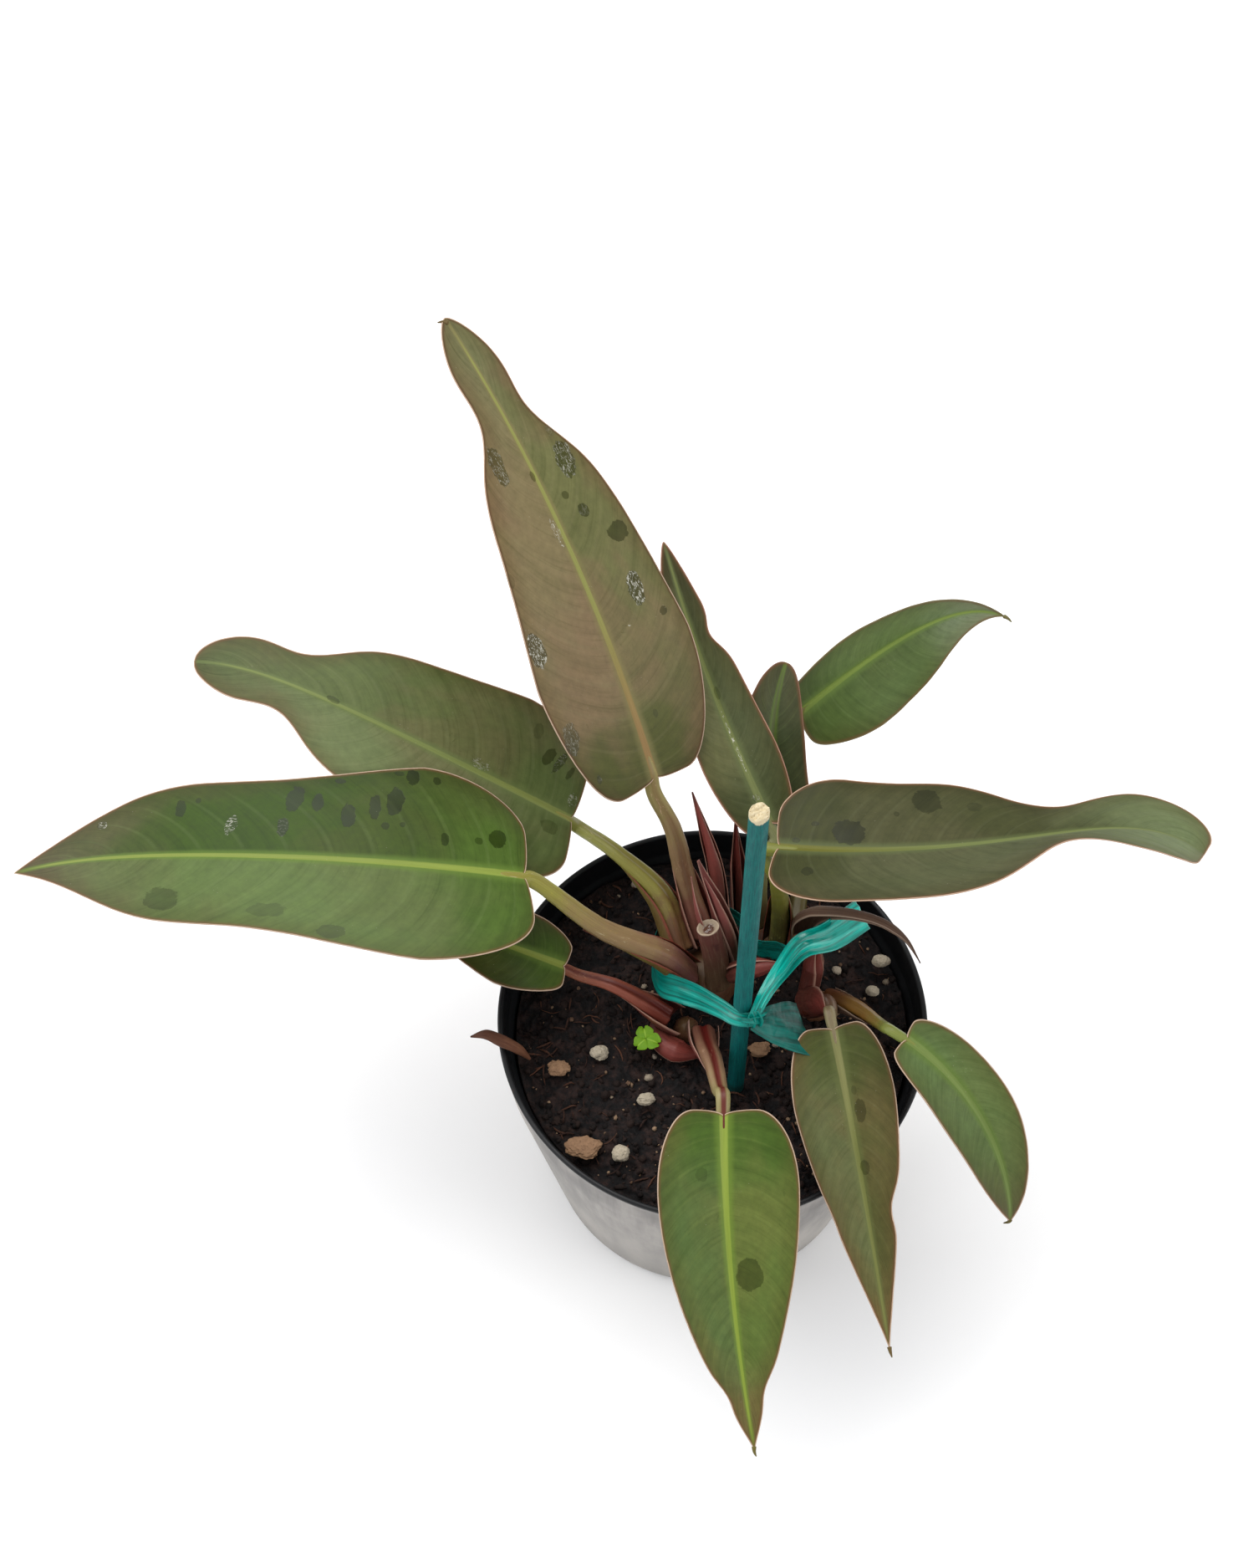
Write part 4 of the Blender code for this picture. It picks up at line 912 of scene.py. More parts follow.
def potProfile():
    # From under the foot up the outside, over the round lip, and down the inside to the floor.
    out = []

    def run(a, b, count):
        for t in np.linspace(0, 1, count, endpoint=False):
            out.append((a[0] + (b[0] - a[0]) * t, a[1] + (b[1] - a[1]) * t))

    neckZ = potTop - 0.014
    neck = footR + (rimR - 0.002 - footR) * neckZ / potTop
    w = potWall
    run((0.002, 0.0), (footR - 0.0035, 0.0), 12)
    run((footR - 0.0035, 0.0), (footR - 0.0008, 0.0006), 4)
    run((footR - 0.0008, 0.0006), (footR + 0.0002, 0.0026), 4)
    run((footR + 0.0002, 0.0026), (neck + 0.0023, neckZ - 0.002), 46)
    run((neck + 0.0023, neckZ - 0.002), (rimR - 0.0004, potTop - 0.0016), 8)
    for turn in np.linspace(0, np.pi, 10, endpoint=False):
        out.append((rimR - 0.0010 + 0.0010 * math.cos(turn), potTop - 0.0010
                    + 0.0010 * math.sin(turn)))
    run((rimR - 0.0020, potTop - 0.0015), (neck + 0.0020 - w, neckZ + 0.003), 10)
    run((neck + 0.0020 - w, neckZ + 0.003), (neck - w, neckZ), 4)
    run((neck - w, neckZ), (footR - w, 0.004), 30)
    run((footR - w, 0.004), (footR - w - 0.002, 0.0020), 4)
    run((footR - w - 0.002, 0.0020), (0.002, 0.0020), 12)
    out.append((0.002, 0.0020))
    return out


def potOval(angle, height, radius):
    # The pot is a little out of round towards its rim.
    return 0.0006 * np.cos(2 * angle + 0.6) * ease(height, 0.06, 0.11) * ease(radius, 0.05, 0.07)


potLine = potProfile()
pts, quads = revolve(potLine, potSteps, potOval)
# The outer wall, up to just under the lip, is painted pale: a painted reflection of the white floor. The
# lip and the inside are black.
wallHeights = np.array(potLine)[:, 1]
wallShare = ease(wallHeights, potTop - 0.0012, potTop - 0.0030)
wallShare[np.argmax(wallHeights):] = 0
wallReflection = np.tile(wallShare, potSteps)
m = Mat("potPlastic", Specular_IOR_Level=0.3)
pos = m.objectPos()
x, y, z = m.split(pos)
cloud = m.noise(pos, 22.0, 4.0, 0.6)
drip = m.noise(m.join(x * 90.0, y * 90.0, z * 6.0), 1.0, 4.0, 0.65)
dust = m.noise(pos, 900.0, 2.0)
film = (drip * 0.6 + cloud * 0.6).step(0.50, 0.80)
outer = m.attr("wallReflection")
streaked = (cloud * 0.6 + drip * 0.5).step(0.44, 0.66)
# Painted reflection: mottled pale greys on the black wall stand in for the white floor reflected in it.
paleReflection = m.mix(shade(132, 128, 124), shade(196, 190, 184), streaked)
# Painted reflection: lighter still towards the foot, which faces the white floor.
paleReflection = m.mix(paleReflection, shade(204, 198, 190), z.step(0.10, 0.02) * 0.5)
# Black plastic, under the painted reflection on the outer wall.
colour = m.mix(shade(20, 21, 24), paleReflection, outer)
colour = m.mix(colour, shade(120, 112, 100), dust.step(0.70, 0.80) * 0.25)
colour = m.mix(colour, shade(110, 72, 52), (m.noise(pos, 60.0, 3.0).step(0.60, 0.70)
                                        * z.step(0.1125, 0.1138)) * 0.45)
rough = 0.38 + cloud * 0.18 + film * 0.15
mat = m.finish(Base_Color=colour, Roughness=rough, Normal=m.bump(
    dust * 0.4 + drip * 0.5, 0.25, 0.0002))
putMesh("pot_fine", [(pts, [quads], {"wallReflection": wallReflection})], mat, ("pot",))
print("pot done")


# Soil

soilLow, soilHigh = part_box("soil")
soilR = (soilHigh[0] - soilLow[0]) / 2
soilTop = soilHigh[2]


def soilHeight(x, y):
    p = np.stack([x, y, 0 * x], -1)
    h = 0.0012 * ripple(p, 110.0, 3, 2) + 0.0011 * ripple(p, 420.0, 5, 3)
    h = h + 0.0006 * ripple(p, 1500.0, 8, 2)
    r = np.hypot(x, y)
    # The mix rises a little round the growing points and sinks at the wall.
    mound = 0.0015 * np.exp(-((x - 0.003) ** 2 + (y - 0.018) ** 2) / 0.03 ** 2)
    return soilTop - 0.0020 + h + mound - 0.0022 * ease(r, 0.058, 0.069)


rings, around = 160, 560
share = np.linspace(0, 1, rings + 1)[1:] ** 0.62
angle = np.linspace(0, 2 * np.pi, around, endpoint=False)
gx = (soilR * share[:, None] * np.cos(angle)).ravel()
gy = (soilR * share[:, None] * np.sin(angle)).ravel()
top = np.stack([gx, gy, soilHeight(gx, gy)], -1)
foot = np.stack([soilR * np.cos(angle), soilR * np.sin(angle), 0 * angle + soilTop - 0.03], -1)
centre = np.array([[0, 0, soilHeight(np.zeros(1), np.zeros(1))[0]], [0, 0, soilTop - 0.03]])
points = np.concatenate([top, foot, centre])
n = len(top)
faces = [gridFaces(rings + 1, around, wrapCols=True),
         fan(np.arange(around), n + around, flip=True),
         fan(np.arange(around) + n, n + around + 1)]


def soilMaterial():
    m = Mat("soilMix", Specular_IOR_Level=0.25)
    pos = m.objectPos()
    clump = m.noise(pos, 240.0, 5.0, 0.65, 0.3)
    patch = m.noise(pos, 60.0, 3.0)
    grit = m.noise(pos, 1400.0, 3.0, 0.6)
    colour = m.mix(shade(14, 11, 12), shade(52, 36, 32), clump.step(0.42, 0.66))
    colour = m.mix(colour, shade(66, 42, 34), (patch * grit).step(0.30, 0.42) * 0.6)
    colour = m.mix(colour, shade(112, 84, 62), grit.step(0.68, 0.74) * clump.step(0.5, 0.6) * 0.7)
    height = clump * 0.8 + grit * 0.5
    return m.finish(Base_Color=colour, Roughness=0.72 + grit * 0.22,
                    Normal=m.bump(height, 0.8, 0.0008))


soilMat = soilMaterial()
putMesh("soil_fine", [(points, faces, {})], soilMat, ("soil",))
print("soil done")


def ballPoints(rings, sides):
    # A unit ball: rings from top to bottom, then its two poles.
    polar = np.linspace(0, np.pi, rings)[1:-1]
    az = np.linspace(0, 2 * np.pi, sides, endpoint=False)
    ball = np.stack([np.sin(polar)[:, None] * np.cos(az), np.sin(polar)[:, None] * np.sin(az),
                     np.cos(polar)[:, None] * np.ones(sides)], -1).reshape(-1, 3)
    return np.concatenate([ball, [[0, 0, 1], [0, 0, -1]]])


def ballFaces(rings, sides):
    poles = (rings - 2) * sides
    return [gridFaces(rings - 2, sides, wrapCols=True), fan(np.arange(sides), poles, flip=True),
            fan(np.arange(sides) + (rings - 3) * sides, poles + 1)]


def lumps(count, sizes, place, seed, rings=7, sides=10):
    # Many small irregular stones as one part list entry, with a random tone each.
    gen = np.random.default_rng(seed)
    ball = ballPoints(rings, sides)
    k = len(ball)
    size = np.exp(gen.uniform(math.log(sizes[0]), math.log(sizes[1]), count))
    stretch = gen.uniform(0.55, 1.25, (count, 1, 3)) * size[:, None, None]
    bumps = 1 + gen.uniform(-0.24, 0.24, (count, k, 1))
    points = ball[None] * stretch * bumps
    turn = gen.uniform(0, 2 * np.pi, count)
    c, s = np.cos(turn)[:, None], np.sin(turn)[:, None]
    points = np.stack([points[..., 0] * c - points[..., 1] * s,
                       points[..., 0] * s + points[..., 1] * c, points[..., 2]], -1)
    centre = place(gen, count, size)
    points = (points + centre[:, None]).reshape(-1, 3)
    shift = (np.arange(count) * k)[:, None, None]
    faces = [(group[None] + shift).reshape(-1, group.shape[1])
             for group in ballFaces(rings, sides)]
    return points, faces, {"tone": np.repeat(gen.uniform(0, 1, count), k)}


looseReach = 0.0685


def onSoil(lift=0.2, reach=looseReach):
    def place(gen, count, size):
        r = reach * np.sqrt(gen.uniform(0, 1, count))
        a = gen.uniform(0, 2 * np.pi, count)
        x, y = r * np.cos(a), r * np.sin(a)
        return np.stack([x, y, soilHeight(x, y) + size * lift], -1)
    return place


def fibres(count, seed):
    # Short bent strands lying on the soil.
    gen = np.random.default_rng(seed)
    steps, sides = 9, 5
    r = 0.066 * np.sqrt(gen.uniform(0, 1, count))
    a = gen.uniform(0, 2 * np.pi, count)
    t = np.linspace(-0.5, 0.5, steps)[None]
    heading = gen.uniform(0, 2 * np.pi, count)[:, None] + gen.normal(0, 0.45, (count, 1)) * t
    length = gen.uniform(0.002, 0.009, (count, 1))
    x = (r * np.cos(a))[:, None] + length * t * np.cos(heading)
    y = (r * np.sin(a))[:, None] + length * t * np.sin(heading)
    out = np.hypot(x, y)
    inside = np.minimum(1, looseReach / out)
    x, y = x * inside, y * inside
    wide = gen.uniform(0.00012, 0.00045, (count, 1)) * (1 - (2 * t) ** 4 * 0.9)
    z = soilHeight(x.ravel(), y.ravel()).reshape(x.shape)
    z = z + wide + gen.uniform(0, 0.0012, (count, 1)) * (1 - (2 * t) ** 2)
    turn = np.linspace(0, 2 * np.pi, sides, endpoint=False)
    sideX, sideY = -np.sin(heading), np.cos(heading)
    w = wide[..., None]
    points = np.stack([x[..., None] + sideX[..., None] * w * np.cos(turn),
                       y[..., None] + sideY[..., None] * w * np.cos(turn),
                       z[..., None] + w * np.sin(turn)], -1).reshape(-1, 3)
    k = steps * sides
    shift = (np.arange(count) * k)[:, None, None]
    end = np.arange(sides)
    faces = [(gridFaces(steps, sides, wrapCols=True)[None] + shift).reshape(-1, 4),
             (end[::-1][None, None] + shift).reshape(-1, sides),
             ((end + k - sides)[None, None] + shift).reshape(-1, sides)]
    return points, faces, {"tone": np.repeat(gen.uniform(0, 1, count), k)}


def toneMaterial(name, dark, light, scale, rough, strength=0.6, **fixed):
    # A dull material between two colours, by each lump's tone and a fine noise.
    m = Mat(name, **fixed)
    pos = m.objectPos()
    grain = m.noise(pos, scale, 4.0, 0.65)
    pits = m.noise(pos, scale * 3.1, 3.0, 0.6)
    colour = m.mix(dark, light, m.attr("tone") * 0.75 + (grain - 0.35) * 0.6)
    colour = m.mix(colour, m.multiply(colour, (0.35, 0.30, 0.28)), pits.step(0.58, 0.72) * 0.8)
    return m.finish(Base_Color=colour, Roughness=rough + (grain - 0.5) * 0.2,
                    Normal=m.bump(grain + pits * 0.6, strength, 0.0005))


def loosePiece(name, part, mat):
    # A piece of its own that rides on the body and replaces no CAD node.
    piece = putMesh(name, [part], mat)
    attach(piece, "root")


loosePiece("soilCrumbs", lumps(1500, (0.0004, 0.0018), onSoil(0.1), 11),
           toneMaterial("crumbDark", shade(12, 10, 11), shade(58, 42, 36), 900.0, 0.85))
loosePiece("soilFibres", fibres(260, 12),
           toneMaterial("fibreBrown", shade(36, 22, 20), shade(116, 76, 56), 500.0, 0.8))
loosePiece("soilGrit", lumps(240, (0.00025, 0.0009), onSoil(0.45), 13, 6, 8),
           toneMaterial("gritTan", shade(92, 64, 48), shade(196, 164, 132), 1200.0, 0.85))
loosePiece("soilPerlite", lumps(26, (0.0007, 0.0017), onSoil(0.5), 21, 7, 10),
           toneMaterial("perliteSmall", shade(150, 132, 110), shade(222, 208, 186), 900.0, 0.8))
print("soil crumbs done")


# Perlite and bark

def stone(name, seed, half, rough=0.22, fine=0.07):
    # A lump shaped from its CAD box's centre, with noise on a fine ball.
    low, high = np.array(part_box(name))
    mid = (low + high) / 2
    rings, sides = 60, 90
    ball = ballPoints(rings, sides)
    shape = 1 + rough * ripple(ball, 2.2, seed, 2) + fine * ripple(ball, 9.0, seed + 1, 2)
    points = mid + ball * shape[:, None] * (high - low) / 2 * half
    return points, ballFaces(rings, sides), {"tone": np.full(len(ball), 0.55)}


perliteMat = toneMaterial("perliteWhite", shade(178, 160, 132), shade(232, 222, 200), 700.0, 0.85, 0.9)
barkMat = toneMaterial("barkTan", shade(92, 62, 44), shade(206, 164, 126), 500.0, 0.8, 0.9)
for i in range(1, 6):
    putMesh(f"perlite_{i}_fine", [stone(f"perlite_{i}", 30 + i, 1.0)], perliteMat,
            (f"perlite_{i}",))
for i in range(1, 4):
    putMesh(f"bark_{i}_fine", [stone(f"bark_chip_{i}", 40 + i, 1.0, 0.34, 0.14)], barkMat,
            (f"bark_chip_{i}",))
print("grains done")


# Stake

stakeFoot, stakeTop = np.array((0.0070, -0.0330, 0.022)), np.array((0.0100, 0.0020, 0.2615))


def stakeMesh():
    rows, sides, capRings = 320, 56, 16
    share = np.linspace(0, 1, rows)
    path = stakeFoot + (stakeTop - stakeFoot) * share[:, None]
    radius = np.interp(share, [0, 0.12, 0.4, 1], [0.0012, 0.0026, 0.0029, 0.0031])
    _, side, up = pathFrames(path, (1, 0, 0))
    angle = np.linspace(0, 2 * np.pi, sides, endpoint=False)
    square = 1 + 0.035 * np.cos(4 * angle + 0.5)[None] + 0.012 * np.sin(
        9 * angle[None] + 12 * share[:, None])
    rad = radius[:, None] * square
    pts = (path[:, None] + side[:, None] * (rad * np.cos(angle))[..., None]
           + up[:, None] * (rad * np.sin(angle))[..., None])
    way = unit(stakeTop - stakeFoot)
    # The break: an uneven, splintered end.
    rim = np.sin(angle + 0.8) * 0.0009 + 0.0006 * ripple(
        np.stack([np.cos(angle), np.sin(angle), 0 * angle], -1), 3.0, 4, 3)
    pull = ease(share, 0.985, 1.0)[:, None] * rim[None]
    pts = pts + pull[..., None] * way
    cap = []
    for i in range(1, capRings):
        f = 1 - i / capRings
        base = stakeTop + (pts[-1] - rim[:, None] * way - stakeTop) * f
        bump = ripple(base, 1500.0, 6, 3) * 0.0010 + rim * f * f + 0.0004 * (1 - f)
        cap.append(base + bump[:, None] * way)
    allPts = np.concatenate([pts.reshape(-1, 3), np.concatenate(cap), stakeTop[None]
                             + way * 0.0004, stakeFoot[None]])
    total = rows + capRings - 1
    n = total * sides
    faces = [gridFaces(total, sides, wrapCols=True), fan(np.arange(sides), n + 1, flip=True),
             fan(np.arange(sides) + n - sides, n)]
    along = np.concatenate([np.repeat(share, sides), np.full((capRings - 1) * sides, 1.1),
                            [1.1, 0]])
    turn = np.concatenate([np.tile(angle / (2 * np.pi), total), [0, 0]])
    return allPts, faces, {"along": along, "turn": turn}


def stakeMaterial():
    m = Mat("dyedWood")
    along, turn = m.attr("along"), m.attr("turn")
    around = m.join((turn * 6.2832).sin() * 3.0, (turn * 6.2832 + 1.5708).sin() * 3.0,
                    along * 9.0)
    grain = m.noise(around, 4.0, 5.0, 0.65, 0.3)
    wear = m.noise(m.objectPos(), 300.0, 4.0, 0.65)
    broad = m.noise(m.objectPos(), 45.0, 2.0)
    colour = m.mix(shade(0, 92, 94), shade(0, 128, 122), grain.step(0.35, 0.65))
    colour = m.mix(colour, shade(0, 66, 72), broad.step(0.5, 0.7) * 0.5)
    colour = m.mix(colour, shade(40, 140, 124), wear.step(0.62, 0.72) * 0.4)
    pale = m.mix(shade(236, 212, 160), shade(250, 238, 206), m.noise(m.objectPos(), 900.0, 3.0))
    pale = m.mix(pale, shade(180, 138, 84), m.noise(m.objectPos(), 1600.0, 2.0).step(0.60, 0.70)
                 * 0.6)
    torn = (along + (wear - 0.5) * 0.02).step(0.9905, 0.9935)
    colour = m.mix(colour, pale, torn)
    colour = m.mix(colour, shade(20, 40, 36), along.step(0.36, 0.345) * 0.7)
    return m.finish(Base_Color=colour, Roughness=0.55 + (wear - 0.5) * 0.3,
                    Normal=m.bump(grain + wear * 0.4, 0.45, 0.0003))


putMesh("stake_fine", [stakeMesh()], stakeMaterial(), ("stake",))
print("stake done")


# Sheath leaves and other shoots

def arcSheet(path, radius, arc, hint, rows=90, cols=36, thick=0.00045, flare=0.0, flat=1.0):
    # A leaf sheath: an open, rolled sheet round a path. The opening faces the hint.
    line, share, _ = curve(path, rows)
    _, side, up = pathFrames(line, hint)
    rad = np.interp(share, np.linspace(0, 1, len(radius)), radius)[:, None]
    span = np.radians(np.interp(share, np.linspace(0, 1, len(arc)), arc))[:, None]
    u = np.linspace(-1, 1, cols)[None]
    theta = math.pi + u * span / 2
    rad = rad * (1 + flare * abs(u) ** 3)
    rad = rad * (1 + 0.04 * ripple(np.stack(np.broadcast_arrays(
        share[:, None] * 4, u * 1.5, 0 * u), -1).reshape(-1, 3), 2.2, 9).reshape(rows, cols))
    top = (line[:, None] + side[:, None] * (rad * np.cos(theta))[..., None]
           + up[:, None] * (rad * np.sin(theta) * flat)[..., None])
    normal = unit(np.cross(np.gradient(top, axis=0), np.gradient(top, axis=1)))
    away = unit(top - line[:, None])
    normal = normal * np.sign((normal * away).sum(-1, keepdims=True).mean() or 1)
    s, a = np.broadcast_arrays(share[:, None], u)
    return sheetSolid(top, normal, thick * (0.45 + 0.55 * (1 - abs(a) ** 4)),
                      {"along": s, "turn": a})


def sheathMaterial(name, low, high, edge, tip, stripe=0.5, rough=0.42, dry=0.0):
    m = Mat(name, Coat_Roughness=0.3)
    along, turn, under = m.attr("along"), m.attr("turn"), m.attr("under")
    pos = m.objectPos()
    blotch = m.noise(pos, 170.0, 4.0, 0.6)
    line = m.noise(m.join(turn * 11.0, along * 3.5, 1.0), 1.0, 3.0, 0.6)
    colour = m.mix(low, high, (along + (blotch - 0.5) * 0.7).step(0.15, 0.75))
    colour = m.mix(colour, m.multiply(colour, (0.55, 0.42, 0.42)), line.step(0.45, 0.70) * stripe)
    colour = m.mix(colour, m.multiply(colour, (1.5, 1.7, 1.4)), line.step(0.42, 0.30) * 0.5)
    colour = m.mix(colour, edge, turn.abs().step(0.86, 0.97) * 0.85)
    colour = m.mix(colour, tip, (along + (blotch - 0.5) * 0.2).step(0.90, 1.0))
    speck = m.noise(pos, 1500.0, 2.0).step(0.62, 0.72)
    colour = m.mix(colour, m.multiply(colour, (1.45, 1.4, 1.3)), speck * 0.5)
    colour = m.mix(colour, m.multiply(colour, (0.75, 0.62, 0.60)), under * 0.6)
    return m.finish(Base_Color=colour, Roughness=rough + (blotch - 0.5) * 0.2 + dry,
                    Normal=m.bump(line + blotch * 0.4, 0.40, 0.0003))


redSheath = sheathMaterial("sheathRed", shade(110, 62, 52), shade(140, 66, 58), shade(206, 160, 140),
                           shade(96, 44, 36))
pinkSheath = sheathMaterial("sheathPink", shade(104, 76, 60), shade(150, 82, 76), shade(208, 168, 150),
                            shade(150, 100, 88))
greenSheath = sheathMaterial("sheathGreen", shade(116, 92, 50), shade(132, 118, 60), shade(150, 74, 62),
                             shade(124, 70, 56))
brownSheath = sheathMaterial("sheathBrown", shade(120, 92, 72), shade(112, 86, 70), shade(190, 164, 142),
                             shade(84, 48, 40), 0.7, 0.55, 0.1)


def shoot(name, parts, mat):
    putMesh(name + "_fine", parts, mat, (name,))


def solidShoot(points, radii, hint=(1, 0.3, 0), flat=1.0, sides=36, count=80, wrinkle=0.06,
               ends=(0.04, 0.04)):
    path, share, _ = curve(points, count)
    radius = np.interp(share, np.linspace(0, 1, len(radii)), radii)
    radius = radius * roundEnds(share, *ends) * (1 + wrinkle * ripple(path, 420.0, 17))

    def section(angle, along):
        return 1 + 0.03 * np.cos(7 * angle + 2 * along) + 0.02 * np.cos(13 * angle)

    return tube(path, radius, sides, flat, hint, section)


def cutStub():
    # The stub of a cut stalk: a pale cut edge round a hollow, darker, wet middle.
    points = [(0.0020, 0.0120, 0.117), (0.0008, 0.0145, 0.132), (-0.0022, 0.0185, 0.1475)]
    rows, sides, capRings = 110, 48, 13
    path, share, _ = curve(points, rows)
    radius = np.interp(share, [0, 0.3, 0.8, 1], [0.0046, 0.0045, 0.0042, 0.0040])
    radius = radius * (1 + 0.03 * ripple(path, 400.0, 5))
    pts, _, attrs = tube(path, radius, sides, 0.92, (1, 0.3, 0))
    end = path[-1]
    way = unit(path[-1] - path[-3])
    ring = pts[(rows - 1) * sides:rows * sides]
    cap = []
    for i in range(1, capRings + 1):
        f = 1 - i / (capRings + 1)
        depth = 0.0010 * ease(1 - f, 0.12, 0.5) - 0.0004 * math.sin(math.pi * min(1, (1 - f) * 5))
        base = end + (ring - end) * f
        cap.append(base - way * depth + way * 0.0003 * ripple(base, 2200.0, 3)[:, None])
    cap = np.array(cap)
    k = rows * sides
    allPts = np.concatenate([pts[:k], cap.reshape(-1, 3), (end - way * 0.0010)[None], pts[-2:-1]])
    total = rows + capRings
    n = total * sides
    share2 = np.concatenate([attrs["along"][:k], np.repeat(np.linspace(1.05, 1.5, capRings), sides),
                             [1.5, 0]])
    turn = np.concatenate([np.tile(attrs["turn"][:sides], total), [0, 0]])
    return (allPts, [gridFaces(total, sides, wrapCols=True),
                     fan(np.arange(sides), n + 1, flip=True),
                     fan(np.arange(sides) + n - sides, n)], {"along": share2, "turn": turn})


def stubMaterial():
    m = Mat("cutStub", Coat_Roughness=0.1)
    along, turn = m.attr("along"), m.attr("turn")
    pos = m.objectPos()
    blotch = m.noise(pos, 260.0, 4.0, 0.6)
    line = m.noise(m.join(turn * 30.0, along * 3.0, 0.0), 1.0, 3.0)
    colour = m.mix(shade(110, 84, 62), shade(112, 66, 58), along.step(0.2, 0.9))
    colour = m.mix(colour, shade(140, 116, 92), line.step(0.5, 0.7) * 0.6)
    colour = m.mix(colour, shade(84, 46, 42), blotch.step(0.55, 0.7) * 0.6)
    colour = m.mix(colour, shade(186, 166, 142), (along + (blotch - 0.5) * 0.05).step(0.985, 1.03))
    core = (along + (blotch - 0.5) * 0.25).step(1.16, 1.34)
    colour = m.mix(colour, shade(92, 60, 44), core)
    return m.finish(Base_Color=colour, Roughness=0.42 - core * 0.25, Coat_Weight=core * 0.8,
                    Normal=m.bump(line * 0.5 + blotch, 0.4, 0.0003))


shoot("cut_petiole_stub", [cutStub()], stubMaterial())

spearPath = [(0.0070, 0.0205, 0.117), (0.0052, 0.0215, 0.134), (0.0005, 0.0270, 0.152),
             (-0.0055, 0.0345, 0.1665)]
shoot("new_spear", [
    arcSheet(spearPath, [0.0044, 0.0042, 0.0030, 0.0008], [300, 250, 190, 120], (1, -0.6, 0)),
    arcSheet([(0.0020, 0.0200, 0.120), (-0.0010, 0.0205, 0.136), (-0.0050, 0.0240, 0.152),
              (-0.0078, 0.0300, 0.1635)], [0.0030, 0.0028, 0.0022, 0.0006],
             [200, 170, 150, 90], (1, 0.2, 0.2)),
    solidShoot([(0.0068, 0.0200, 0.117), (0.0048, 0.0218, 0.136), (0.0005, 0.0268, 0.150),
                (-0.0040, 0.0320, 0.160)], [0.0030, 0.0028, 0.0016, 0.0003])],
      pinkSheath)

shoot("cataphyll_tall", [
    arcSheet([(0.0040, 0.0300, 0.117), (0.0012, 0.0430, 0.140), (-0.0030, 0.0520, 0.154),
              (-0.0075, 0.0605, 0.1675)], [0.0036, 0.0034, 0.0024, 0.0004],
             [250, 220, 170, 100], (0.2, -1, 0.3)),
    solidShoot([(0.0038, 0.0310, 0.117), (0.0008, 0.0440, 0.142), (-0.0070, 0.0595, 0.166)],
               [0.0024, 0.0022, 0.0003])], redSheath)

shoot("cataphyll_short", [
    arcSheet([(0.0110, 0.0460, 0.104), (0.0095, 0.0530, 0.130), (0.0080, 0.0590, 0.1515)],
             [0.0034, 0.0030, 0.0004], [230, 190, 100], (0.5, -1, 0.3)),
    solidShoot([(0.0110, 0.0465, 0.104), (0.0085, 0.0575, 0.147)], [0.0020, 0.0003])],
      redSheath)

shoot("cataphyll_bud", [
    solidShoot([(0.0060, 0.0115, 0.124), (0.0120, 0.0095, 0.133), (0.0180, 0.0088, 0.1370),
                (0.0235, 0.0085, 0.1392)], [0.0030, 0.0038, 0.0030, 0.0004], (0, 1, 0.2), 0.8),
    arcSheet([(0.0055, 0.0118, 0.123), (0.0120, 0.0096, 0.1328), (0.0180, 0.0088, 0.1370),
              (0.0240, 0.0084, 0.1393)], [0.0038, 0.0043, 0.0034, 0.0005],
             [220, 210, 190, 110], (0, -1, 0.7))], redSheath)

dryPath = [(0.0315, 0.0285, 0.116), (0.0325, 0.0265, 0.136), (0.0420, 0.0215, 0.1500),
           (0.0550, 0.0180, 0.1525), (0.0640, 0.0130, 0.1505), (0.0700, 0.0055, 0.1465)]
shoot("cataphyll_dry", [
    arcSheet(dryPath, [0.0036, 0.0040, 0.0042, 0.0030, 0.0020, 0.0003],
             [250, 230, 190, 200, 220, 160], (0, -1, 0.4), rows=140)],
      brownSheath)

shoot("cataphyll_front", [
    arcSheet([(-0.0200, 0.0040, 0.1055), (-0.0190, -0.0050, 0.1075),
              (-0.0130, -0.0110, 0.1085), (-0.0040, -0.0115, 0.1070)],
             [0.0010, 0.0036, 0.0040, 0.0012], [150, 210, 210, 160], (-0.1, 0.5, -1)),
    solidShoot([(-0.0180, 0.0030, 0.1050), (-0.0165, -0.0050, 0.1065),
                (-0.0110, -0.0095, 0.1070), (-0.0040, -0.0105, 0.1060)],
               [0.0010, 0.0030, 0.0032, 0.0008])], redSheath)

shoot("cataphyll_right", [
    arcSheet([(0.0345, 0.0110, 0.110), (0.0362, 0.0165, 0.121), (0.0372, 0.0205, 0.1325)],
             [0.0042, 0.0044, 0.0010], [260, 230, 150], (1, -0.3, 0.3)),
    solidShoot([(0.0345, 0.0115, 0.110), (0.0362, 0.0170, 0.121), (0.0368, 0.0195, 0.129)],
               [0.0036, 0.0034, 0.0006])], redSheath)

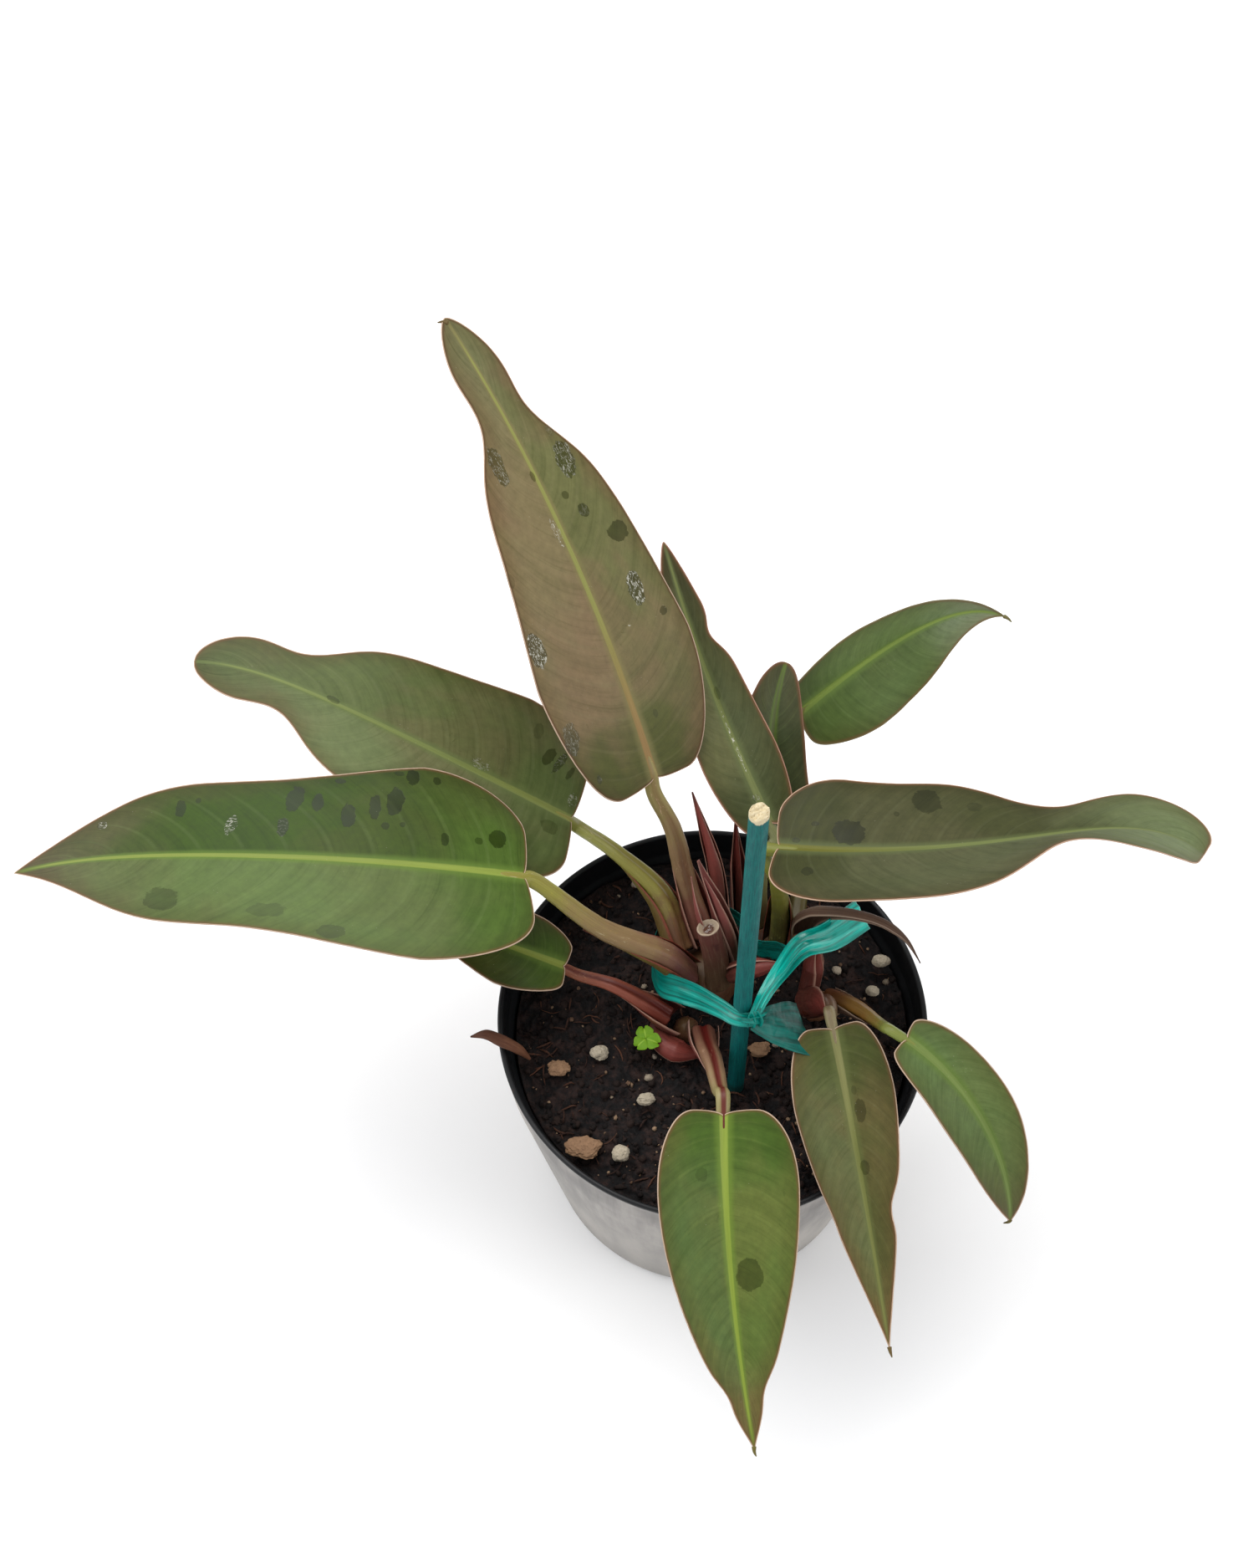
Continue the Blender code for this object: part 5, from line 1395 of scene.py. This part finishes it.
# Sheaths that wrap the foot of the leaf stalks.
wraps = {
    "petiole_left_upper": ([(-0.0095, 0.0225, 0.118), (-0.0165, 0.0370, 0.1300),
                            (-0.0270, 0.0475, 0.1370), (-0.0370, 0.0540, 0.1405)],
                           [0.0066, 0.0064, 0.0048, 0.0024], [230, 210, 170, 90],
                           (0.55, 0.2, 1), greenSheath),
    "petiole_left_front": ([(-0.0060, 0.0130, 0.118), (-0.0160, 0.0145, 0.1335),
                            (-0.0300, 0.0170, 0.1420), (-0.0440, 0.0200, 0.1482)],
                           [0.0066, 0.0064, 0.0046, 0.0028], [230, 200, 160, 90],
                           (0.4, 0.1, 1), greenSheath),
    "petiole_top": ([(-0.0020, 0.0280, 0.118), (-0.0070, 0.0380, 0.133),
                     (-0.0105, 0.0440, 0.1440), (-0.0125, 0.0480, 0.1520)],
                    [0.0060, 0.0058, 0.0044, 0.0028], [230, 200, 160, 90],
                    (0.6, -0.8, 0.3), redSheath),
    "petiole_small_left": ([(-0.0120, 0.0005, 0.1085), (-0.0185, 0.0022, 0.1150),
                            (-0.0270, 0.0052, 0.1205), (-0.0330, 0.0072, 0.1230)],
                           [0.0060, 0.0056, 0.0040, 0.0024], [230, 200, 160, 90],
                           (0.4, 0, 1), redSheath),
    "petiole_front": ([(-0.0035, -0.0020, 0.1095), (-0.0030, -0.0110, 0.1180),
                       (-0.0018, -0.0185, 0.1250), (-0.0005, -0.0270, 0.1322)],
                      [0.0058, 0.0054, 0.0040, 0.0028], [220, 190, 160, 80],
                      (0.3, 0.6, 1), pinkSheath),
    "petiole_front_right": ([(0.0345, 0.0070, 0.1110), (0.0385, 0.0015, 0.1240),
                             (0.0400, -0.0040, 0.1310), (0.0403, -0.0090, 0.1345)],
                            [0.0058, 0.0054, 0.0038, 0.0022], [240, 210, 170, 90],
                            (1, 0.3, 0.4), redSheath),
    "petiole_small_right": ([(0.0405, 0.0090, 0.1110), (0.0465, -0.0010, 0.1275),
                             (0.0510, -0.0075, 0.1345), (0.0535, -0.0115, 0.1385)],
                            [0.0048, 0.0046, 0.0038, 0.0024], [250, 220, 180, 110],
                            (0.3, -0.4, 1), brownSheath),
    "petiole_right": ([(0.0235, 0.0280, 0.1130), (0.0237, 0.0305, 0.1270),
                       (0.0228, 0.0310, 0.1400), (0.0222, 0.0300, 0.1520)],
                      [0.0056, 0.0054, 0.0044, 0.0026], [250, 220, 170, 90],
                      (-0.6, -1, 0), greenSheath),
}
for name, (points, radii, arcs, hint, mat) in wraps.items():
    loosePiece(name + "_sheath", arcSheet(points, radii, arcs, hint), mat)

stemMat = sheathMaterial("stemSkin", shade(70, 48, 36), shade(128, 88, 64), shade(120, 84, 62),
                         shade(110, 82, 52), 0.6)
for name in ("stem_main", "stem_front", "stem_right", "stem_back_right"):
    low, high = np.array(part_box(name))
    cx, cy = (low + high)[:2] / 2
    r = (high - low)[0] / 2
    points = [(cx, cy, low[2]), (cx, cy, soilTop - 0.002), (cx, cy, high[2])]
    putMesh(name + "_fine", [solidShoot(points, [r * 0.75, r * 0.97, r * 0.8], (1, 0, 0), 1.0,
            64, 90, 0.07, (0.1, 0.22))], stemMat, (name,))
print("shoots done")


# Tie tape

filmThickness = 0.00016


def ribbon(points, widths, hints, rows=120, cols=24, folds=(), crease=0.0, tone=0.5):
    # A strip of film along a path. hints give the across direction at each point. tone sets how the
    # strip is lit in its colour: high tone adds painted highlights, low tone painted shade.
    line, share, _ = curve(points, rows)
    wide = np.interp(share, np.linspace(0, 1, len(widths)), widths)[:, None]
    across = np.stack([np.interp(share, np.linspace(0, 1, len(hints)), [h[k] for h in hints])
                       for k in range(3)], -1)
    forward = unit(np.gradient(line, axis=0))
    across = unit(across - forward * (across * forward).sum(-1, keepdims=True))
    out = np.cross(forward, across)
    u = np.linspace(-1, 1, cols)[None]
    lift = 0 * u * share[:, None]
    for size, number, phase, start, stop in folds:
        lift = lift + size * np.sin(number * u * math.pi + phase + 2.5 * share[:, None]) \
            * ease(share, start, (start + stop) / 2)[:, None] \
            * ease(share, stop, (start + stop) / 2)[:, None]
    flatPts = np.stack(np.broadcast_arrays(share[:, None] * 6, u * 1.2, 0 * u), -1)
    lift = lift + crease * ripple(flatPts.reshape(-1, 3), 2.5, 5).reshape(rows, cols)
    top = (line[:, None] + across[:, None] * (u * wide / 2)[..., None]
           + out[:, None] * lift[..., None])
    normal = unit(np.cross(np.gradient(top, axis=0), np.gradient(top, axis=1)))
    s, a = np.broadcast_arrays(share[:, None], u)
    return sheetSolid(top, normal, filmThickness, {"along": s, "turn": a, "tone": s * 0 + tone})


def tapeMaterial():
    m = Mat("tieFilm", Coat_Roughness=0.12, IOR=1.5)
    along, turn, tone = m.attr("along"), m.attr("turn"), m.attr("tone")
    pos = m.objectPos()
    streak = m.noise(m.join(turn * 3.2, along * 1.1, 0.0), 1.4, 3.0, 0.6, 0.4)
    broad = m.noise(pos, 60.0, 2.0)
    # Painted light: the spread from deep to bright teal stands in for light shining through the
    # translucent film.
    depth = (streak * 0.7 + broad * 0.3).step(0.34, 0.62)
    colour = m.mix(shade(0, 120, 108, 0.75), shade(0, 205, 186, 0.75), depth)
    # Painted highlight: pale streaks where the film catches the light, scaled by tone.
    colour = m.mix(colour, shade(90, 240, 222, 0.85), streak.step(0.60, 0.72) * tone)
    # Painted shade: a low tone darkens the whole strip.
    paintedShade = m.mix((0.16, 0.20, 0.20), (1.0, 1.0, 1.0), tone)
    colour = m.multiply(colour, paintedShade)
    colour = m.mix(colour, shade(0, 84, 76), (turn.abs().step(0.92, 1.0)) * 0.3)
    return m.finish(Base_Color=colour, Roughness=0.34 + broad * 0.08 - tone * 0.14,
                    Coat_Weight=tone * 0.35,
                    Normal=m.bump(streak, 0.35, 0.0006))


def loopBand():
    # Low and wide behind the plant, high and gathered where it holds the stake.
    points = [(0.0135, -0.0185, 0.1535), (0.0165, -0.0110, 0.1530), (0.0225, 0.0010, 0.1480),
              (0.0268, 0.0100, 0.1395), (0.0240, 0.0180, 0.1290), (0.0190, 0.0228, 0.1210)]
    for degrees in range(10, 181, 17):
        a = math.radians(degrees)
        points.append((-0.0025 + 0.0184 * math.cos(a), 0.0220 + 0.0184 * math.sin(a), 0.1180))
    points += [(-0.0208, 0.0160, 0.1190), (-0.0185, 0.0085, 0.1240), (-0.0125, 0.0015, 0.1340),
               (-0.0055, -0.0060, 0.1440), (0.0015, -0.0135, 0.1515), (0.0060, -0.0175, 0.1535),
               (0.0105, -0.0185, 0.1535), (0.0140, -0.0170, 0.1535)]
    widths = [0.0040, 0.0052, 0.0070, 0.0090, 0.0100, 0.0100, 0.0100, 0.0100, 0.0100, 0.0096,
              0.0086, 0.0066, 0.0044]
    # The film stands on edge at first and behind, and lies over as it comes forward to the stake.
    hints = [(0, 0.3, 1), (0, 0, 1), (0, 0, 1), (0, 0, 1), (0.2, 0.8, 0.6), (0.2, 0.9, 0.4)]
    return ribbon(points, widths, hints, rows=420,
                  folds=[(0.0005, 2.0, 0.3, 0.7, 1.05), (0.0004, 1.5, 1.0, -0.1, 0.3)],
                  crease=0.0004)


knotPath = [(0.0080, -0.0195, 0.1545), (0.0108, -0.0200, 0.1545), (0.0140, -0.0185, 0.1530),
            (0.0160, -0.0150, 0.1510)]
crossPath = [(0.0120, -0.0180, 0.1580), (0.0132, -0.0195, 0.1545), (0.0128, -0.0195, 0.1500),
             (0.0140, -0.0170, 0.1480)]
longTail = [(0.0118, -0.0190, 0.1535), (0.0165, -0.0105, 0.1570), (0.0225, -0.0015, 0.1570),
            (0.0297, 0.0090, 0.1530), (0.0400, 0.0175, 0.1430), (0.0525, 0.0300, 0.1345)]
shortTail = [(0.0115, -0.0190, 0.1525), (0.0190, -0.0175, 0.1475), (0.0260, -0.0160, 0.1420),
             (0.0310, -0.0150, 0.1370)]
# The long tail has full tone, with painted highlights. The short tail has a low tone and is painted as
# lying in shade.
putMesh("tie_tape_fine", [
    loopBand(),
    ribbon(knotPath, [0.0044, 0.0058, 0.0060, 0.0040], [(0.1, -0.2, 1), (0.3, 0.1, 1),
           (0.6, 0.1, 0.8)], rows=60, folds=[(0.0010, 1.5, 0.5, -0.2, 1.2)]),
    ribbon(crossPath, [0.0036, 0.0048, 0.0048, 0.0034], [(1, 0.3, 0), (1, 0.2, 0.2)],
           rows=60, folds=[(0.0008, 2.0, 1.5, -0.2, 1.2)]),
    ribbon(longTail, [0.0036, 0.0052, 0.0074, 0.0096, 0.0108, 0.0112],
           [(-0.6, 0.3, 0.5), (-0.7, 0.5, 0.5), (-0.5, 0.7, 0.5)], rows=160, cols=40, tone=1.0,
           folds=[(0.0011, 1.2, 0.4, -0.1, 0.8), (0.0006, 2.6, 1.8, 0.0, 1.3)], crease=0.0003),
    ribbon(shortTail, [0.0050, 0.0130, 0.0190, 0.0220],
           [(-0.1, 0.9, 0.4), (-0.2, 0.9, 0.1), (-0.25, 0.9, -0.1)], rows=90, cols=40, tone=0.08,
           folds=[(0.0008, 1.0, 0.8, -0.1, 1.1)], crease=0.0003),
], tapeMaterial(), ("tie_tape",))
print("tape done")


# Seedling and leaf scrap

def seedlingParts():
    low, high = np.array(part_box("seedling_leaves"))
    mid = (low + high) / 2
    parts = []
    for turn, size in ((100, 0.0052), (222, 0.0050), (340, 0.0054)):
        a = math.radians(turn)
        way = np.array([math.cos(a), math.sin(a), 0.12])
        across = np.array([-math.sin(a), math.cos(a), 0])
        t = np.linspace(0.02, 1, 40)[:, None]
        u = np.linspace(-1, 1, 31)[None]
        # A heart: the outer end dips in at the midline.
        wide = 0.60 * np.sin(np.pi * np.clip(t, 0, 1) ** 0.8 * 0.86)
        reach = t * (1 - 0.20 * np.exp(-(u / 0.30) ** 2) * t ** 3) - 0.10 * u ** 2 * t ** 2
        z = 0.10 * abs(u) * t - 0.18 * t ** 2 + 0.02 * np.sin(4 * t + 3 * u)
        top = mid + size * (way * reach[..., None] + across * (u * wide)[..., None]
                            + np.array([0, 0, 1]) * z[..., None])
        normal = unit(np.cross(np.gradient(top, axis=0), np.gradient(top, axis=1)))
        s, b = np.broadcast_arrays(t, u)
        parts.append(sheetSolid(top, normal, 0.0003, {"along": s, "turn": b}))
    return parts


m = Mat("seedlingLeaf")
turn, along = m.attr("turn"), m.attr("along")
soft = m.noise(m.objectPos(), 700.0, 3.0)
colour = m.mix(shade(86, 142, 8), shade(140, 186, 30), soft)
colour = m.mix(colour, shade(170, 208, 70), turn.abs().step(0.12, 0.04) * 0.7)
seedMat = m.finish(Base_Color=colour, Roughness=0.55 + soft * 0.1,
                   Normal=m.bump(soft, 0.3, 0.0002))
shoot("seedling_leaves", seedlingParts(), seedMat)
m = Mat("seedlingStalk")
soft = m.noise(m.objectPos(), 900.0, 2.0)
stalkMat = m.finish(Base_Color=m.mix(shade(120, 150, 60), shade(160, 140, 80), soft), Roughness=0.5)
shoot("seedling_stalk", [solidShoot([(-0.0240, -0.0060, 0.1040), (-0.0245, -0.0075, 0.1085),
      (-0.0240, -0.0080, 0.1123)], [0.0006, 0.0005, 0.0004], sides=14, count=30)],
      stalkMat)

scrapMat = sheathMaterial("scrapDry", shade(128, 84, 60), shade(104, 66, 48), shade(150, 108, 82),
                          shade(86, 50, 36), 0.7, 0.6, 0.15)
scrapPath = [(-0.0640, -0.0140, 0.1095), (-0.0680, -0.0125, 0.1148), (-0.0740, -0.0105, 0.1178),
             (-0.0790, -0.0085, 0.1182), (-0.0845, -0.0080, 0.1150)]
shoot("dry_leaf_scrap", [arcSheet(scrapPath, [0.0006, 0.0018, 0.0022, 0.0018, 0.0004],
      [100, 190, 210, 190, 100], (0, 0.3, -1))], scrapMat)
print("small pieces done")


# Stage

def plainMaterial(name, colour, rough):
    m = Mat(name, Roughness=rough)
    tone = m.noise(m.objectPos(), 3.0, 2.0)
    return m.finish(Base_Color=m.mix(colour, tuple(0.96 * c for c in colour), tone))


floorSize = 3.0
grid = np.linspace(-floorSize, floorSize, 3)
gx, gy = np.meshgrid(grid, grid)
floorPoints = np.stack([gx.ravel(), gy.ravel(), 0 * gx.ravel() - 0.0002], -1)
floor = putMesh("floor", [(floorPoints, [gridFaces(3, 3)], {})],
                plainMaterial("floorPaper", (0.92, 0.92, 0.92), 0.9), smooth=False)


def areaLight(name, place, aim, size, power, colour=(1, 1, 1)):
    data = bpy.data.lights.new(name, "AREA")
    data.shape, data.size, data.size_y = "RECTANGLE", size[0], size[1]
    data.energy, data.color = power, colour
    lamp = bpy.data.objects.new(name, data)
    bpy.context.scene.collection.objects.link(lamp)
    lamp.location = place
    way = np.array(aim, float) - np.array(place, float)
    lamp.rotation_euler = (math.acos(-way[2] / np.linalg.norm(way)), 0,
                           math.atan2(way[1], way[0]) - math.pi / 2)


areaLight("overhead", (-0.35, 0.55, 1.7), (0, 0, 0.1), (1.6, 1.2), 24, (1.0, 0.99, 0.97))
areaLight("leftWindow", (-1.6, 0.2, 0.9), (0, 0, 0.12), (1.2, 1.0), 11, (0.96, 0.98, 1.0))
areaLight("rightFill", (1.5, -0.5, 1.0), (0, 0, 0.12), (1.0, 1.0), 8, (1.0, 0.99, 0.97))

world = bpy.data.worlds.new("studio")
bpy.context.scene.world = world
world.use_nodes = True
sky = world.node_tree.nodes["Background"]
sky.inputs[0].default_value = (0.97, 0.98, 1.0, 1)
sky.inputs[1].default_value = 0.85

cameraPlace = (-0.030, -0.373, 0.9555)
cameraTilt = math.radians(29)
camData = bpy.data.cameras.new("camera")
camData.lens, camData.sensor_width = 60, 36
camera = bpy.data.objects.new("camera", camData)
bpy.context.scene.collection.objects.link(camera)
camera.location = cameraPlace
camera.rotation_euler = (cameraTilt, 0, 0)
bpy.context.scene.camera = camera
bpy.context.scene.view_settings.view_transform = "Standard"
